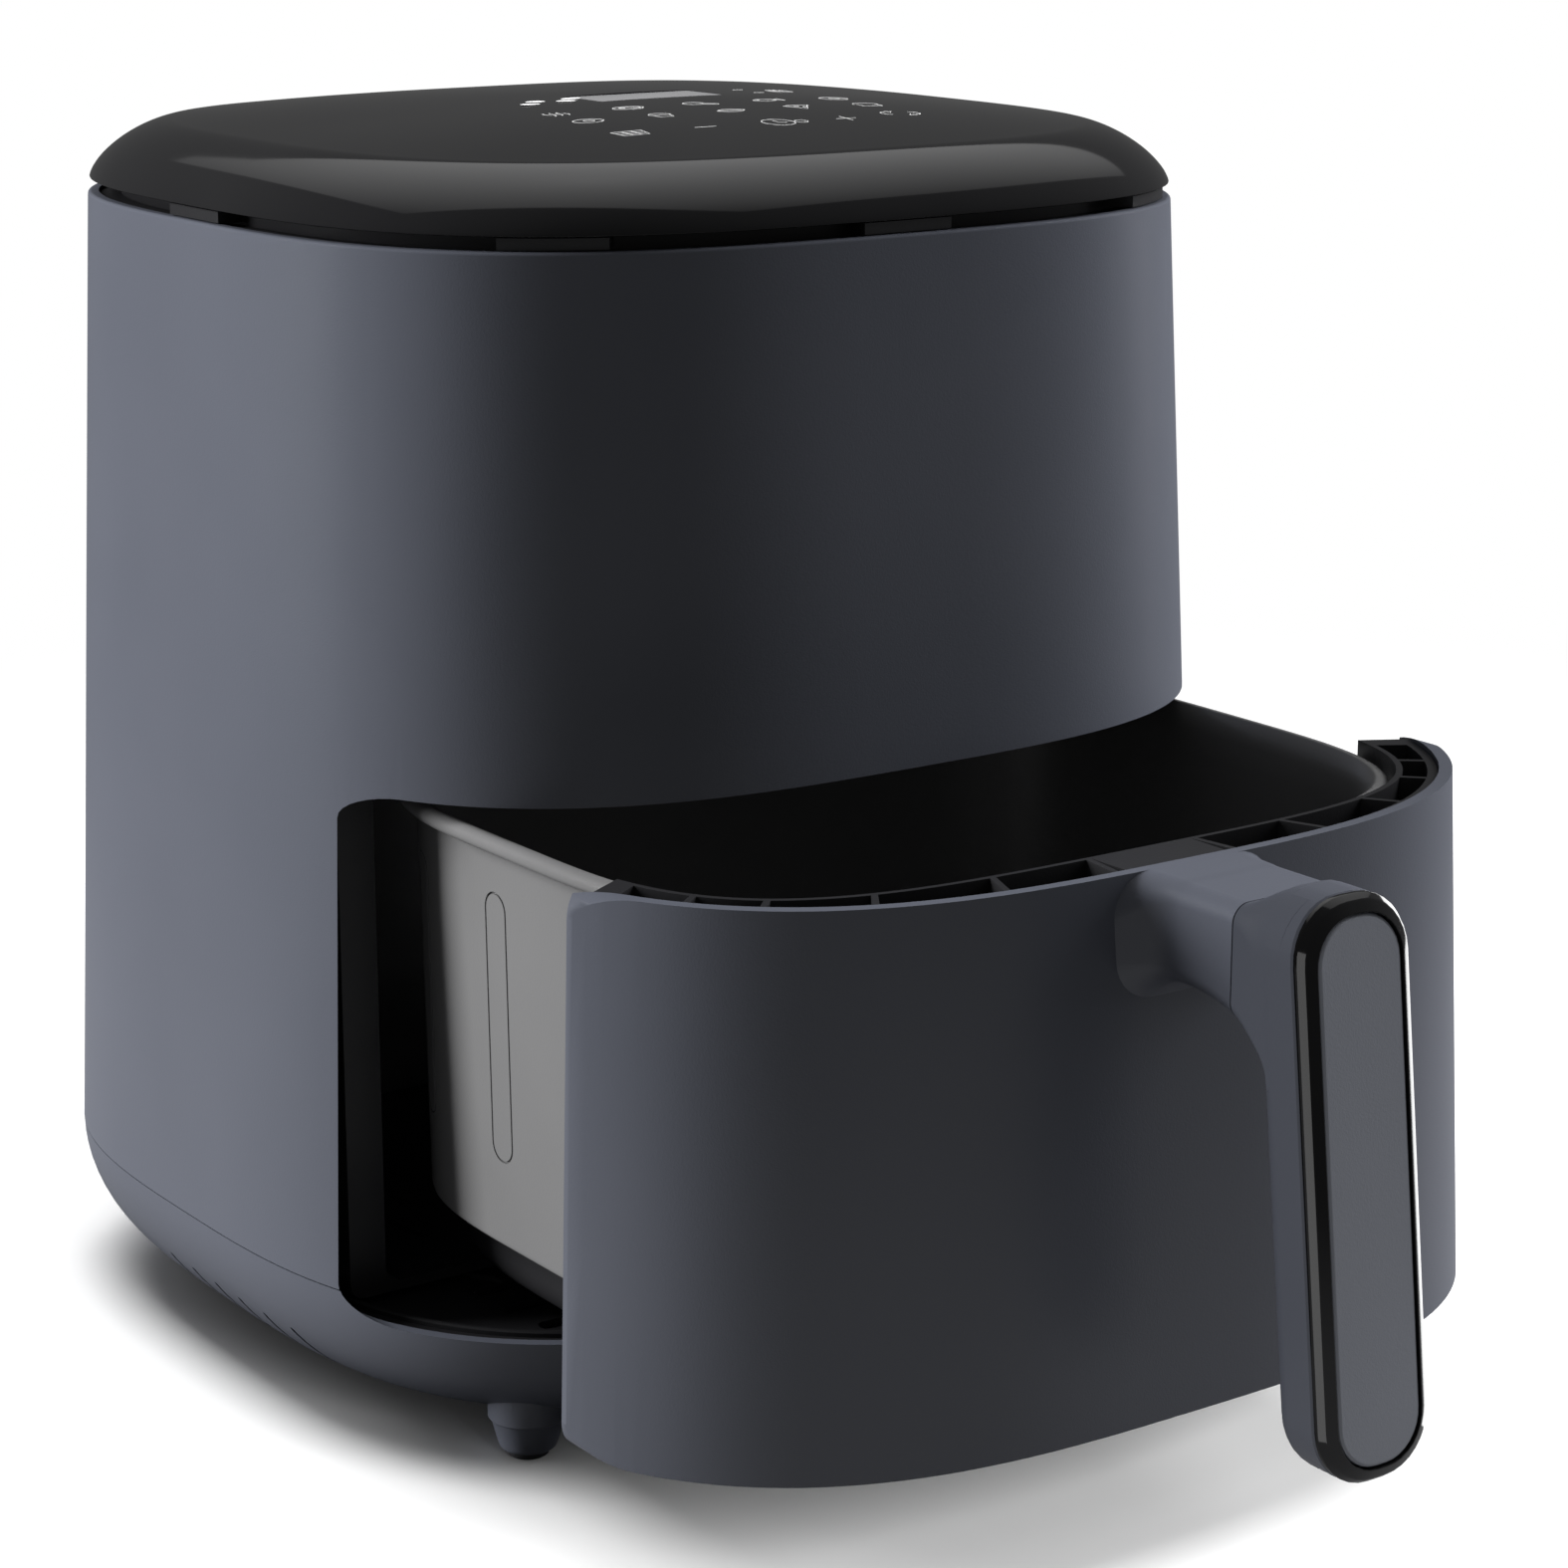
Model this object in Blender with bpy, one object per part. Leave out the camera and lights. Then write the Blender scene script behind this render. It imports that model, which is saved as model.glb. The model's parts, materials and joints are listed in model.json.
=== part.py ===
"""Drawer air fryer with a touch panel in its lid, as the separate pieces it is built from.

Metres, +Z up. The front faces -Y, and +X is on the right of someone who stands in front.
Pieces are modelled about the middle of the housing with the drawer shut. The empties then
draw the drawer out, and set the origin under the middle of the whole object.
"""

import math

import bmesh
import bpy
from mathutils import Vector

GAP = 0.0003
WALL = 0.0026

# Housing, seen from above: a superellipse that grows towards the bottom.
BODY_HALF_WIDTH = 0.1293
BODY_FRONT = 0.1260
BODY_REAR = 0.1284
BODY_EXPONENT = 3.05
BODY_FLARE = 0.336
BODY_POINTS = 48

# Heights in the housing.
UNDERSIDE_Z = 0.0103
SEAM_Z = 0.0457
RIM_Z = 0.3046
BASE_ROUNDING = 0.0330
LID_GAP = 0.0034
LID_SCALE = 0.9965
LID_SHOULDER_SCALE = 0.84
LID_SHOULDER_HEIGHT = 0.0154
LID_DOME_HEIGHT = 0.0066
LID_WALL = 0.0030

# Band under the lid. Its tabs show in the gap.
VENT_RING_INSET = 0.0105
TAB_HALF = 0.0130
TAB_DEGREES = (0, 50, 90, 130)

# Opening and drawer.
OPENING_HALF_WIDTH = 0.1235
OPENING_BOTTOM = 0.0393
OPENING_TOP = 0.1735
OPENING_CORNER = 0.008
OPENING_TOP_CORNER = 0.004
DRAWER_CLEARANCE = 0.0008
DRAWER_OUT = 0.1025
PANEL_WALL = 0.0030
FLOOR_TOP = 0.0365
FLOOR_THICKNESS = 0.0020
FLANGE_FRONT = -0.0628
FLANGE_BACK = -0.0400
FRAME_BOTTOM = 0.1250
FRAME_END_DEGREES = 60
FRAME_POCKETS = ((8, 20), (22, 33), (35, 43), (45, 50), (52, 57))
MAGNET_Z = 0.1310
MAGNET_HALF = 0.0013

# Pot and crisper grid.
POT_HALF_WIDTH = 0.1140
POT_HALF_DEPTH = 0.0930
POT_CENTRE_Y = -0.0180
POT_EXPONENT = 3.8
POT_TOP = 0.1690
POT_BOTTOM = 0.0450
POT_SKIRT_BOTTOM = 0.0635
POT_BEAD = 0.0040
POT_WALL = 0.0025
POT_POINTS = 40
POT_CLEARANCE = 0.0012
GRID_HEIGHT = 0.0600
GRID_THICKNESS = 0.0025
GRID_CLEARANCE = 0.0040
BUMPER_RADIUS = 0.0048

# Handle. It leans outwards on its way down.
HANDLE_HALF_WIDTH = 0.0163
HANDLE_TOP = 0.1769
HANDLE_BOTTOM = 0.0453
HANDLE_CORNER = 0.0140
HANDLE_DEPTH = 0.0150
HANDLE_REACH = 0.0580
HANDLE_LEAN = 0.1143
BEZEL_WIDTH = 0.0037
BEZEL_RISE = 0.0026
BEZEL_SEAT = 0.0012
NECK_TOP = 0.1725
NECK_BOTTOM = 0.1490
NECK_LENGTH = 0.0310
COLLAR_GROWTH = 0.0085
HANDLE_SCREW_X = 0.0100
HANDLE_SCREW_Z = 0.1600

# Feet, screws and the air slots in the bottom edge.
FOOT_X = 0.0936
FOOT_Y = 0.0929
FOOT_TOP_RADIUS = 0.0095
FOOT_END_RADIUS = 0.0075
FOOT_END_Z = 0.0020
PAD_RADIUS = 0.0055
PAD_HEIGHT = 0.0045
BOSS_RADIUS = 0.0055
BOSS_OFFSET = 0.018
SCREW_HEAD = 0.0038
SCREW_SHANK = 0.0017
SCREW_LENGTH = 0.0150
VENT_COUNT = 6
VENT_PITCH = 0.0130
VENT_FIRST_Y = -0.0500
VENT_TOP = 0.0265
VENT_BOTTOM = 0.0150
VENT_WIDTH = 0.0016
VENT_SLANT = 0.55

# Hot chamber and air mover.
CHAMBER_CLEARANCE = 0.0030
CHAMBER_SHEET = 0.0012
CHAMBER_EXPONENT = 5.0
CHAMBER_FRONT = -0.0380
CHAMBER_TOP = 0.1760
DOME_HEIGHT = 0.0335
DOME_INSET = 0.0140
SHAFT_RADIUS = 0.0030
HEATER_TUBE = 0.0032
HEATER_OUTER_RADIUS = POT_HALF_DEPTH + CHAMBER_CLEARANCE - DOME_INSET - 0.0080
HEATER_INNER_RADIUS = HEATER_OUTER_RADIUS - 0.0180
HEATER_DROP = 0.0170
TERMINAL_ANGLE = 8
GUARD_RADIUS = HEATER_OUTER_RADIUS + 0.0085
GUARD_WIRE = 0.0025
FAN_RADIUS = HEATER_INNER_RADIUS - HEATER_TUBE - 0.0048
FAN_BLADES = 8
PROBE_RADIUS = 0.0020
PROBE_ANGLE = -35
MOTOR_RADIUS = 0.0320
MOTOR_HEIGHT = 0.0340
MOTOR_FLOOR = 0.2425

# Rear.
GRILLE_HALF_WIDTH = 0.0450
GRILLE_BOTTOM = 0.1850
GRILLE_TOP = 0.2550
GRILLE_SLOTS = 7
GLAND_Z = 0.0750
GLAND_RADIUS = 0.0085
GLAND_FLANGE = 0.0115
GLAND_PROUD = 0.0030

# Controls.
DISPLAY_WIDTH = 0.0380
DISPLAY_DEPTH = 0.0170
DISPLAY_Y = -0.0090
LENS_THICKNESS = 0.0010
MODULE_HEIGHT = 0.0035
BOARD_THICKNESS = 0.0016
BOARD_DROP = 0.0014
TRAY_DROP = 0.0120
BOARD_Y = 0.1030
BOARD_BOTTOM = 0.1900
BOARD_TOP = 0.2750

TUBE_SIDES = 12


def plan_scale(z):
    return 1 + BODY_FLARE * (RIM_Z - z)


def superellipse(half_width, front, rear, exponent, z, centre_y=0.0, count=POT_POINTS):
    """A loop of points at one height, anticlockwise from +X."""
    loop = []
    for step in range(count):
        angle = 2 * math.pi * step / count
        c, s = math.cos(angle), math.sin(angle)
        half_depth = rear if s > 0 else front
        x = math.copysign(abs(c) ** (2 / exponent), c) * half_width
        y = math.copysign(abs(s) ** (2 / exponent), s) * half_depth
        loop.append(Vector((x, centre_y + y, z)))
    return loop


def body_loop(z, inset=0.0, scale_z=None, scale=1.0):
    """The housing's outline at a height, drawn in by an inset."""
    k = plan_scale(z if scale_z is None else scale_z) * scale
    sides = [size * k - inset for size in (BODY_HALF_WIDTH, BODY_FRONT, BODY_REAR)]
    return superellipse(*sides, BODY_EXPONENT, z, count=BODY_POINTS)


def pot_loop(z, inset=0.0, exponent=POT_EXPONENT):
    """The pot's outline at a height, drawn in from its bead; below zero is outside it."""
    width, depth = POT_HALF_WIDTH - inset, POT_HALF_DEPTH - inset
    return superellipse(width, depth, depth, exponent, z, POT_CENTRE_Y)


def disc_loop(radius, z, x=0.0, y=0.0, count=POT_POINTS):
    turn = 2 * math.pi / count
    angles = [turn * i for i in range(count)]
    return [Vector((x + radius * math.cos(a), y + radius * math.sin(a), z)) for a in angles]


def material(name, colour, roughness, metallic=0.0):
    made = bpy.data.materials.get(name) or bpy.data.materials.new(name)
    made.use_nodes = True
    shader = made.node_tree.nodes["Principled BSDF"]
    shader.inputs["Base Color"].default_value = (*colour, 1.0)
    shader.inputs["Roughness"].default_value = roughness
    shader.inputs["Metallic"].default_value = metallic
    return made


FINISHES = {
    "slate_plastic": ((0.100, 0.108, 0.130), 0.42, 0.0),
    "gloss_black": ((0.008, 0.008, 0.009), 0.08, 0.0),
    "black_plastic": ((0.012, 0.012, 0.013), 0.45, 0.0),
    "pot_coating": ((0.085, 0.085, 0.086), 0.32, 0.6),
    "display_glass": ((0.240, 0.240, 0.245), 0.15, 0.0),
    "rubber_black": ((0.015, 0.015, 0.016), 0.80, 0.0),
    "bright_steel": ((0.550, 0.550, 0.560), 0.35, 1.0),
    "heater_steel": ((0.160, 0.150, 0.145), 0.45, 1.0),
    "board_green": ((0.030, 0.120, 0.060), 0.50, 0.0),
    "wire_insulation": ((0.500, 0.480, 0.420), 0.60, 0.0),
    "magnet_nickel": ((0.600, 0.600, 0.600), 0.25, 1.0),
}


def new_object(name, mesh_data, finish, parent):
    obj = bpy.data.objects.new(name, mesh_data)
    bpy.context.scene.collection.objects.link(obj)
    if finish is None:
        obj.hide_render = True
        obj.display_type = "WIRE"
    else:
        obj.data.materials.append(material(finish, *FINISHES[finish]))
    obj.parent = parent
    return obj


def loft(name, loops, finish=None, parent=None, ring=False, smooth=True):
    """A closed solid through loops of equally many points. A ring joins its last loop to its first."""
    shape = bmesh.new()
    rows = [[shape.verts.new(point) for point in loop] for loop in loops]
    pairs = list(zip(rows, rows[1:])) + ([(rows[-1], rows[0])] if ring else [])
    for low, high in pairs:
        for i in range(len(low)):
            j = (i + 1) % len(low)
            shape.faces.new((low[i], low[j], high[j], high[i]))
    if not ring:
        shape.faces.new(rows[0])
        shape.faces.new(rows[-1])
    bmesh.ops.recalc_face_normals(shape, faces=shape.faces)
    mesh_data = bpy.data.meshes.new(name)
    shape.to_mesh(mesh_data)
    shape.free()
    if smooth:
        mesh_data.shade_smooth()
        mesh_data.set_sharp_from_angle(angle=math.radians(35))
    return new_object(name, mesh_data, finish, parent)


def block(name, low, high, finish=None, parent=None):
    """A box from its lowest to its highest corner."""
    corners = ((low[0], low[1]), (high[0], low[1]), (high[0], high[1]), (low[0], high[1]))
    loops = [[Vector((x, y, z)) for x, y in corners] for z in (low[2], high[2])]
    return loft(name, loops, finish, parent, smooth=False)


def turned(name, profile, finish=None, parent=None, x=0.0, y=0.0, ring=False, count=24):
    """A piece turned about a vertical axis from (radius, z) pairs."""
    loops = [disc_loop(radius, z, x, y, count) for radius, z in profile]
    return loft(name, loops, finish, parent, ring)


def turned_along_y(name, profile, x, z, finish=None, parent=None, ring=False, count=16):
    """A piece turned about a line along Y from (radius, y) pairs."""
    loops = []
    for radius, y in profile:
        loops.append([Vector((x + p.x, y, z + p.y)) for p in disc_loop(radius, 0.0, count=count)])
    return loft(name, loops, finish, parent, ring)


def cut(target, *tools, operation="DIFFERENCE"):
    for tool in tools:
        step = target.modifiers.new(tool.name, "BOOLEAN")
        step.operation = operation
        step.solver = "EXACT"
        step.object = tool


def rounded_rectangle(half_width, bottom, top, bottom_radius, top_radius, steps=5):
    """Points (x, z), anticlockwise from the bottom right corner."""
    corners = [
        (half_width, bottom, bottom_radius, -90),
        (half_width, top, top_radius, 0),
        (-half_width, top, top_radius, 90),
        (-half_width, bottom, bottom_radius, 180),
    ]
    points = []
    for x, z, radius, start in corners:
        centre_x = x - math.copysign(radius, x)
        centre_z = z + radius if z == bottom else z - radius
        for step in range(steps + 1):
            angle = math.radians(start + 90 * step / steps)
            points.append((centre_x + radius * math.cos(angle), centre_z + radius * math.sin(angle)))
    return points


def opening_prism(name, clearance, front, back, parent=None):
    """The drawer opening's outline, run along Y. Its sides lean as the housing's flare does."""
    bottom, top = OPENING_BOTTOM + clearance, OPENING_TOP - clearance
    outline = rounded_rectangle(1.0, bottom, top, OPENING_CORNER, OPENING_TOP_CORNER)
    points = []
    for x, z in outline:
        side = OPENING_HALF_WIDTH * plan_scale(z) - clearance
        points.append((x + math.copysign(side - 1.0, x), z))
    loops = [[Vector((x, y, z)) for x, z in points] for y in (front, back)]
    return loft(name, loops, parent=parent, smooth=False)


def wall_ring(name, low, high, wall, finish=None, parent=None):
    """The housing's flared wall between two heights."""
    loops = [body_loop(low), body_loop(high), body_loop(high, wall), body_loop(low, wall)]
    return loft(name, loops, finish, parent, ring=True)


def tube(name, route, radius, finish, parent, resolution=2):
    """A bent rod or a wire: a poly curve with a round bevel and filled caps."""
    curve = bpy.data.curves.new(name, "CURVE")
    curve.dimensions = "3D"
    curve.bevel_depth = radius
    curve.bevel_resolution = resolution
    curve.use_fill_caps = True
    spline = curve.splines.new("POLY")
    spline.points.add(len(route) - 1)
    for point, place in zip(spline.points, route):
        point.co = (*place, 1.0)
    return new_object(name, curve, finish, parent)


def smooth_route(points, per_span=4):
    """Points along a Catmull-Rom curve through the given ones."""
    points = [Vector(p) for p in points]
    padded = [points[0] * 2 - points[1], *points, points[-1] * 2 - points[-2]]
    route = []
    for a, b, c, d in zip(padded, padded[1:], padded[2:], padded[3:]):
        for step in range(per_span):
            t = step / per_span
            curve = (2 * a - 5 * b + 4 * c - d) * t**2 + (3 * b - a - 3 * c + d) * t**3
            route.append(0.5 * (2 * b + (c - a) * t + curve))
    return route + [points[-1]]


# Housing ---------------------------------------------------------------------------------


def outer_shell(housing):
    shell = wall_ring("outer_shell", SEAM_Z + GAP, RIM_Z, WALL, "slate_plastic", housing)
    opening = opening_prism("opening_cutter", 0.0, -0.30, -0.03, housing)
    low, high = (-GRILLE_HALF_WIDTH, 0.08, GRILLE_BOTTOM), (GRILLE_HALF_WIDTH, 0.30, GRILLE_TOP)
    rear = block("grille_cutter", low, high, parent=housing)
    hole = [(GLAND_RADIUS + GAP, 0.08), (GLAND_RADIUS + GAP, 0.3)]
    cord = turned_along_y("gland_cutter", hole, 0.0, GLAND_Z, parent=housing)
    cut(shell, opening, rear, cord)


def base_profile(inset, steps):
    """(height, inset) pairs round the bottom edge, from the seam to the flat underside."""
    points = []
    for step in range(steps + 1):
        angle = math.pi / 2 * step / steps
        drop = (SEAM_Z - UNDERSIDE_Z - inset) * math.sin(angle)
        points.append((SEAM_Z - drop, inset + (BASE_ROUNDING - inset / 2) * (1 - math.cos(angle))))
    return points


def foot_places():
    for side, x in (("left", -FOOT_X), ("right", FOOT_X)):
        for end, y in (("front", -FOOT_Y), ("rear", FOOT_Y)):
            yield f"{end}_{side}", x, y


def screw_places():
    for name, x, y in foot_places():
        yield name, x - math.copysign(BOSS_OFFSET, x), y - math.copysign(BOSS_OFFSET, y)


def base_tray(housing):
    outside = [body_loop(z, inset, SEAM_Z) for z, inset in base_profile(0.0, 5)]
    inside = [body_loop(z, inset, SEAM_Z) for z, inset in base_profile(WALL, 3)]
    tray = loft("base_tray", inside[::-1] + outside, "slate_plastic", housing)
    opening = opening_prism("base_opening_cutter", 0.0, -0.30, -0.03, housing)
    for name, x, y in foot_places():
        leg = [(FOOT_END_RADIUS, FOOT_END_Z), (FOOT_TOP_RADIUS, UNDERSIDE_Z)]
        leg.append((FOOT_TOP_RADIUS, UNDERSIDE_Z + 0.012))
        cut(tray, turned(f"leg_{name}", leg, parent=housing, x=x, y=y, count=14), operation="UNION")
    for name, x, y in screw_places():
        post = [(BOSS_RADIUS, UNDERSIDE_Z + WALL / 2), (BOSS_RADIUS, FLOOR_TOP - FLOOR_THICKNESS - GAP)]
        cut(tray, turned(f"boss_{name}", post, parent=housing, x=x, y=y, count=10), operation="UNION")
    cut(tray, opening)
    for name, x, y in foot_places():
        seat = [(PAD_RADIUS + GAP, -0.01), (PAD_RADIUS + GAP, PAD_HEIGHT + GAP)]
        cut(tray, turned(f"pad_seat_{name}", seat, parent=housing, x=x, y=y, count=16))
    for name, x, y in screw_places():
        head, shank, seat = SCREW_HEAD + GAP, SCREW_SHANK + GAP, UNDERSIDE_Z + 0.0030
        hole = [(head, 0.0), (head, seat), (shank, seat), (shank, seat + SCREW_LENGTH + GAP)]
        cut(tray, turned(f"screw_hole_{name}", hole, parent=housing, x=x, y=y, count=TUBE_SIDES))
    for index in range(VENT_COUNT):
        for side in (-1, 1):
            place = VENT_FIRST_Y + VENT_PITCH * index
            cut(tray, vent_cutter(f"vent_{index}_{side:+d}", side, place, housing))


def vent_cutter(name, side, y, housing):
    """A slot through the rounded bottom edge. It slants forward on its way down."""
    inner, outer = sorted((side * BODY_HALF_WIDTH * 0.88, side * BODY_HALF_WIDTH * 1.20))
    loops = []
    for z in (VENT_BOTTOM, VENT_TOP):
        middle = y + VENT_SLANT * (z - VENT_BOTTOM)
        low, high = middle - VENT_WIDTH / 2, middle + VENT_WIDTH / 2
        corners = ((inner, low), (outer, low), (outer, high), (inner, high))
        loops.append([Vector((x, at, z)) for x, at in corners])
    return loft(name, loops, parent=housing, smooth=False)


def feet_and_screws(housing):
    for name, x, y in foot_places():
        pad = [(PAD_RADIUS, 0.0), (PAD_RADIUS, PAD_HEIGHT)]
        turned(f"foot_pad_{name}", pad, "rubber_black", housing, x, y, count=16)
    for name, x, y in screw_places():
        seat = UNDERSIDE_Z + 0.0030 - GAP
        rod = [(SCREW_HEAD, seat - 0.0020), (SCREW_HEAD, seat)]
        rod += [(SCREW_SHANK, seat), (SCREW_SHANK, seat + SCREW_LENGTH)]
        turned(f"base_screw_{name}", rod, "bright_steel", housing, x, y, count=TUBE_SIDES)


def floor_plate(housing):
    """The tray under the drawer, with a low lip at its front and slots behind the lip."""
    bottom = FLOOR_TOP - FLOOR_THICKNESS
    edge = WALL + 0.0038
    loops = [body_loop(z, edge, SEAM_Z) for z in (bottom, FLOOR_TOP)]
    plate = loft("floor_plate", loops, "black_plastic", housing)
    foot, crest = FLOOR_TOP - 0.001, FLOOR_TOP + 0.0015
    path = ((foot, edge + 0.004), (crest, edge + 0.004), (crest, edge + 0.006), (foot, edge + 0.006))
    lip = [body_loop(z, inset, SEAM_Z) for z, inset in path]
    cut(plate, loft("floor_lip", lip, parent=housing, ring=True), operation="UNION")
    for row, (y, half) in enumerate(((-0.100, 0.014), (-0.086, 0.016), (-0.072, 0.016))):
        for x in (-0.080, -0.040, 0.0, 0.040, 0.080):
            low, high = (x - half, y - 0.0025, 0.0), (x + half, y + 0.0025, 0.06)
            cut(plate, block(f"floor_slot_{row}_{x:+.3f}", low, high, parent=housing))


def front_flange(housing):
    """The black frame behind the opening, which closes the space round the hot chamber."""
    half_width = OPENING_HALF_WIDTH * plan_scale(OPENING_TOP) - 0.0022
    outer = rounded_rectangle(half_width, FLOOR_TOP + 0.0021, CHAMBER_TOP, 0.004, 0.004, 3)
    way = POT_HALF_WIDTH + CHAMBER_CLEARANCE - 0.0005
    inner = rounded_rectangle(way, POT_BOTTOM - 0.004, POT_TOP + 0.0025, 0.004, 0.004, 3)
    path = ((outer, FLANGE_FRONT), (outer, FLANGE_BACK), (inner, FLANGE_BACK), (inner, FLANGE_FRONT))
    loops = [[Vector((x, y, z)) for x, z in outline] for outline, y in path]
    loft("front_flange", loops, "black_plastic", housing, ring=True, smooth=False)


def chamber_loop(z, inset=0.0):
    clear = -(CHAMBER_CLEARANCE + CHAMBER_SHEET)
    return pot_loop(z, clear + inset, CHAMBER_EXPONENT)


def hot_chamber(housing):
    low, high = FLOOR_TOP + GAP, CHAMBER_TOP
    path = ((low, 0.0), (high, 0.0), (high, CHAMBER_SHEET), (low, CHAMBER_SHEET))
    loops = [chamber_loop(z, inset) for z, inset in path]
    chamber = loft("inner_chamber", loops, "bright_steel", housing, ring=True)
    cut(chamber, block("chamber_cutter", (-0.2, -0.2, 0.0), (0.2, CHAMBER_FRONT, 0.3), parent=housing))


def drawer_rails(housing):
    outer = POT_HALF_WIDTH + CHAMBER_CLEARANCE - 5 * GAP
    inner = POT_HALF_WIDTH - 0.0105
    top = POT_SKIRT_BOTTOM - 0.0015
    back = POT_CENTRE_Y + POT_HALF_DEPTH * 0.28
    for name, side in (("left", -1), ("right", 1)):
        x = sorted((side * inner, side * outer))
        low, high = (x[0], CHAMBER_FRONT + 0.002, top - 0.011), (x[1], back, top)
        block(f"{name}_rail", low, high, "black_plastic", housing)


def heat_reflector(housing):
    low, sheet = CHAMBER_TOP + GAP, 0.0010
    high = low + DOME_HEIGHT
    hole = SHAFT_RADIUS + 0.0030
    y = POT_CENTRE_Y
    loops = [
        chamber_loop(low),
        chamber_loop(low + sheet),
        chamber_loop(low + sheet, DOME_INSET - 0.003),
        chamber_loop(high, DOME_INSET),
        disc_loop(hole, high, y=y),
        disc_loop(hole, high - sheet, y=y),
        chamber_loop(high - sheet, DOME_INSET + sheet),
        chamber_loop(low, DOME_INSET - 0.003 + sheet),
    ]
    dome = loft("heat_reflector", loops, "bright_steel", housing, ring=True)
    hole = HEATER_TUBE + 0.001
    for name, x, place in terminal_places():
        through = [(hole, high - 0.01), (hole, high + 0.01)]
        cut(dome, turned(f"terminal_hole_{name}", through, parent=housing, x=x, y=place, count=TUBE_SIDES))
    through = [(PROBE_RADIUS + GAP, high - 0.01), (PROBE_RADIUS + GAP, high + 0.01)]
    x, place = probe_place()
    cut(dome, turned("probe_hole", through, parent=housing, x=x, y=place, count=TUBE_SIDES))


def dome_top():
    return CHAMBER_TOP + GAP + DOME_HEIGHT


def terminal_places():
    turn = math.radians(90 - TERMINAL_ANGLE)
    for name, radius in (("outer", HEATER_OUTER_RADIUS), ("inner", HEATER_INNER_RADIUS)):
        yield name, radius * math.cos(turn), POT_CENTRE_Y + radius * math.sin(turn)


def probe_place():
    """Between the heater's two rings."""
    radius, turn = (HEATER_OUTER_RADIUS + HEATER_INNER_RADIUS) / 2, math.radians(PROBE_ANGLE)
    return radius * math.cos(turn), POT_CENTRE_Y + radius * math.sin(turn)


def heater_element(housing):
    """Two rings in one tube, joined by a hairpin, with both ends turned up through the reflector."""
    z = dome_top() - HEATER_DROP
    first, last = math.radians(90 - TERMINAL_ANGLE), math.radians(90 + TERMINAL_ANGLE - 360)
    mean = (HEATER_OUTER_RADIUS + HEATER_INNER_RADIUS) / 2
    half = (HEATER_OUTER_RADIUS - HEATER_INNER_RADIUS) / 2

    def at(radius, angle, height=z):
        return Vector((radius * math.cos(angle), POT_CENTRE_Y + radius * math.sin(angle), height))

    steps = 22
    sweep = [first + (last - first) * step / steps for step in range(steps + 1)]
    bend = 0.008
    start = [at(HEATER_OUTER_RADIUS, first, z + rise) for rise in (0.030, 0.018, bend, bend * 0.3)]
    hairpin = []
    for step in range(1, 6):
        swing = math.pi * step / 6
        angle = last - half * math.sin(swing) / mean
        hairpin.append(at(mean + half * math.cos(swing), angle))
    route = start + [at(HEATER_OUTER_RADIUS, a) for a in sweep[1:]] + hairpin
    route += [at(HEATER_INNER_RADIUS, a) for a in sweep[:0:-1]]
    route += [at(HEATER_INNER_RADIUS, first, z + rise) for rise in (bend * 0.3, bend, 0.018, 0.030)]
    tube("heater_element", route, HEATER_TUBE, "heater_steel", housing, resolution=1)


def heater_guard(housing):
    """A wire ring with spokes under the heater, hung from the reflector by four legs."""
    low = CHAMBER_TOP + 0.0040
    high = low + 0.0022
    y = POT_CENTRE_Y
    outer, inner = GUARD_RADIUS, GUARD_RADIUS - GUARD_WIRE
    middle_line = (outer + inner) / 2
    rings = [(outer, low), (outer, high), (inner, high), (inner, low)]
    guard = turned("heater_guard", rings, "bright_steel", housing, y=y, ring=True, count=24)
    middle = [(0.0200, low), (0.0200, high), (0.0180, high), (0.0180, low)]
    parts = [turned("guard_middle", middle, parent=housing, y=y, ring=True, count=14)]
    for name, half_x, half_y in (("across", middle_line, 0.0010), ("along", 0.0010, middle_line)):
        spoke_low, spoke_high = (-half_x, y - half_y, low + 0.0003), (half_x, y + half_y, high - 0.0003)
        parts.append(block(f"guard_spoke_{name}", spoke_low, spoke_high, parent=housing))
    for turn in range(4):
        angle = math.radians(45 + 90 * turn)
        x, leg_y = middle_line * math.cos(angle), y + middle_line * math.sin(angle)
        leg = [(0.0011, low + 0.0005), (0.0011, dome_top() - 0.0010 - GAP)]
        parts.append(turned(f"guard_leg_{turn}", leg, parent=housing, x=x, y=leg_y, count=8))
    cut(guard, *parts, operation="UNION")


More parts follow.
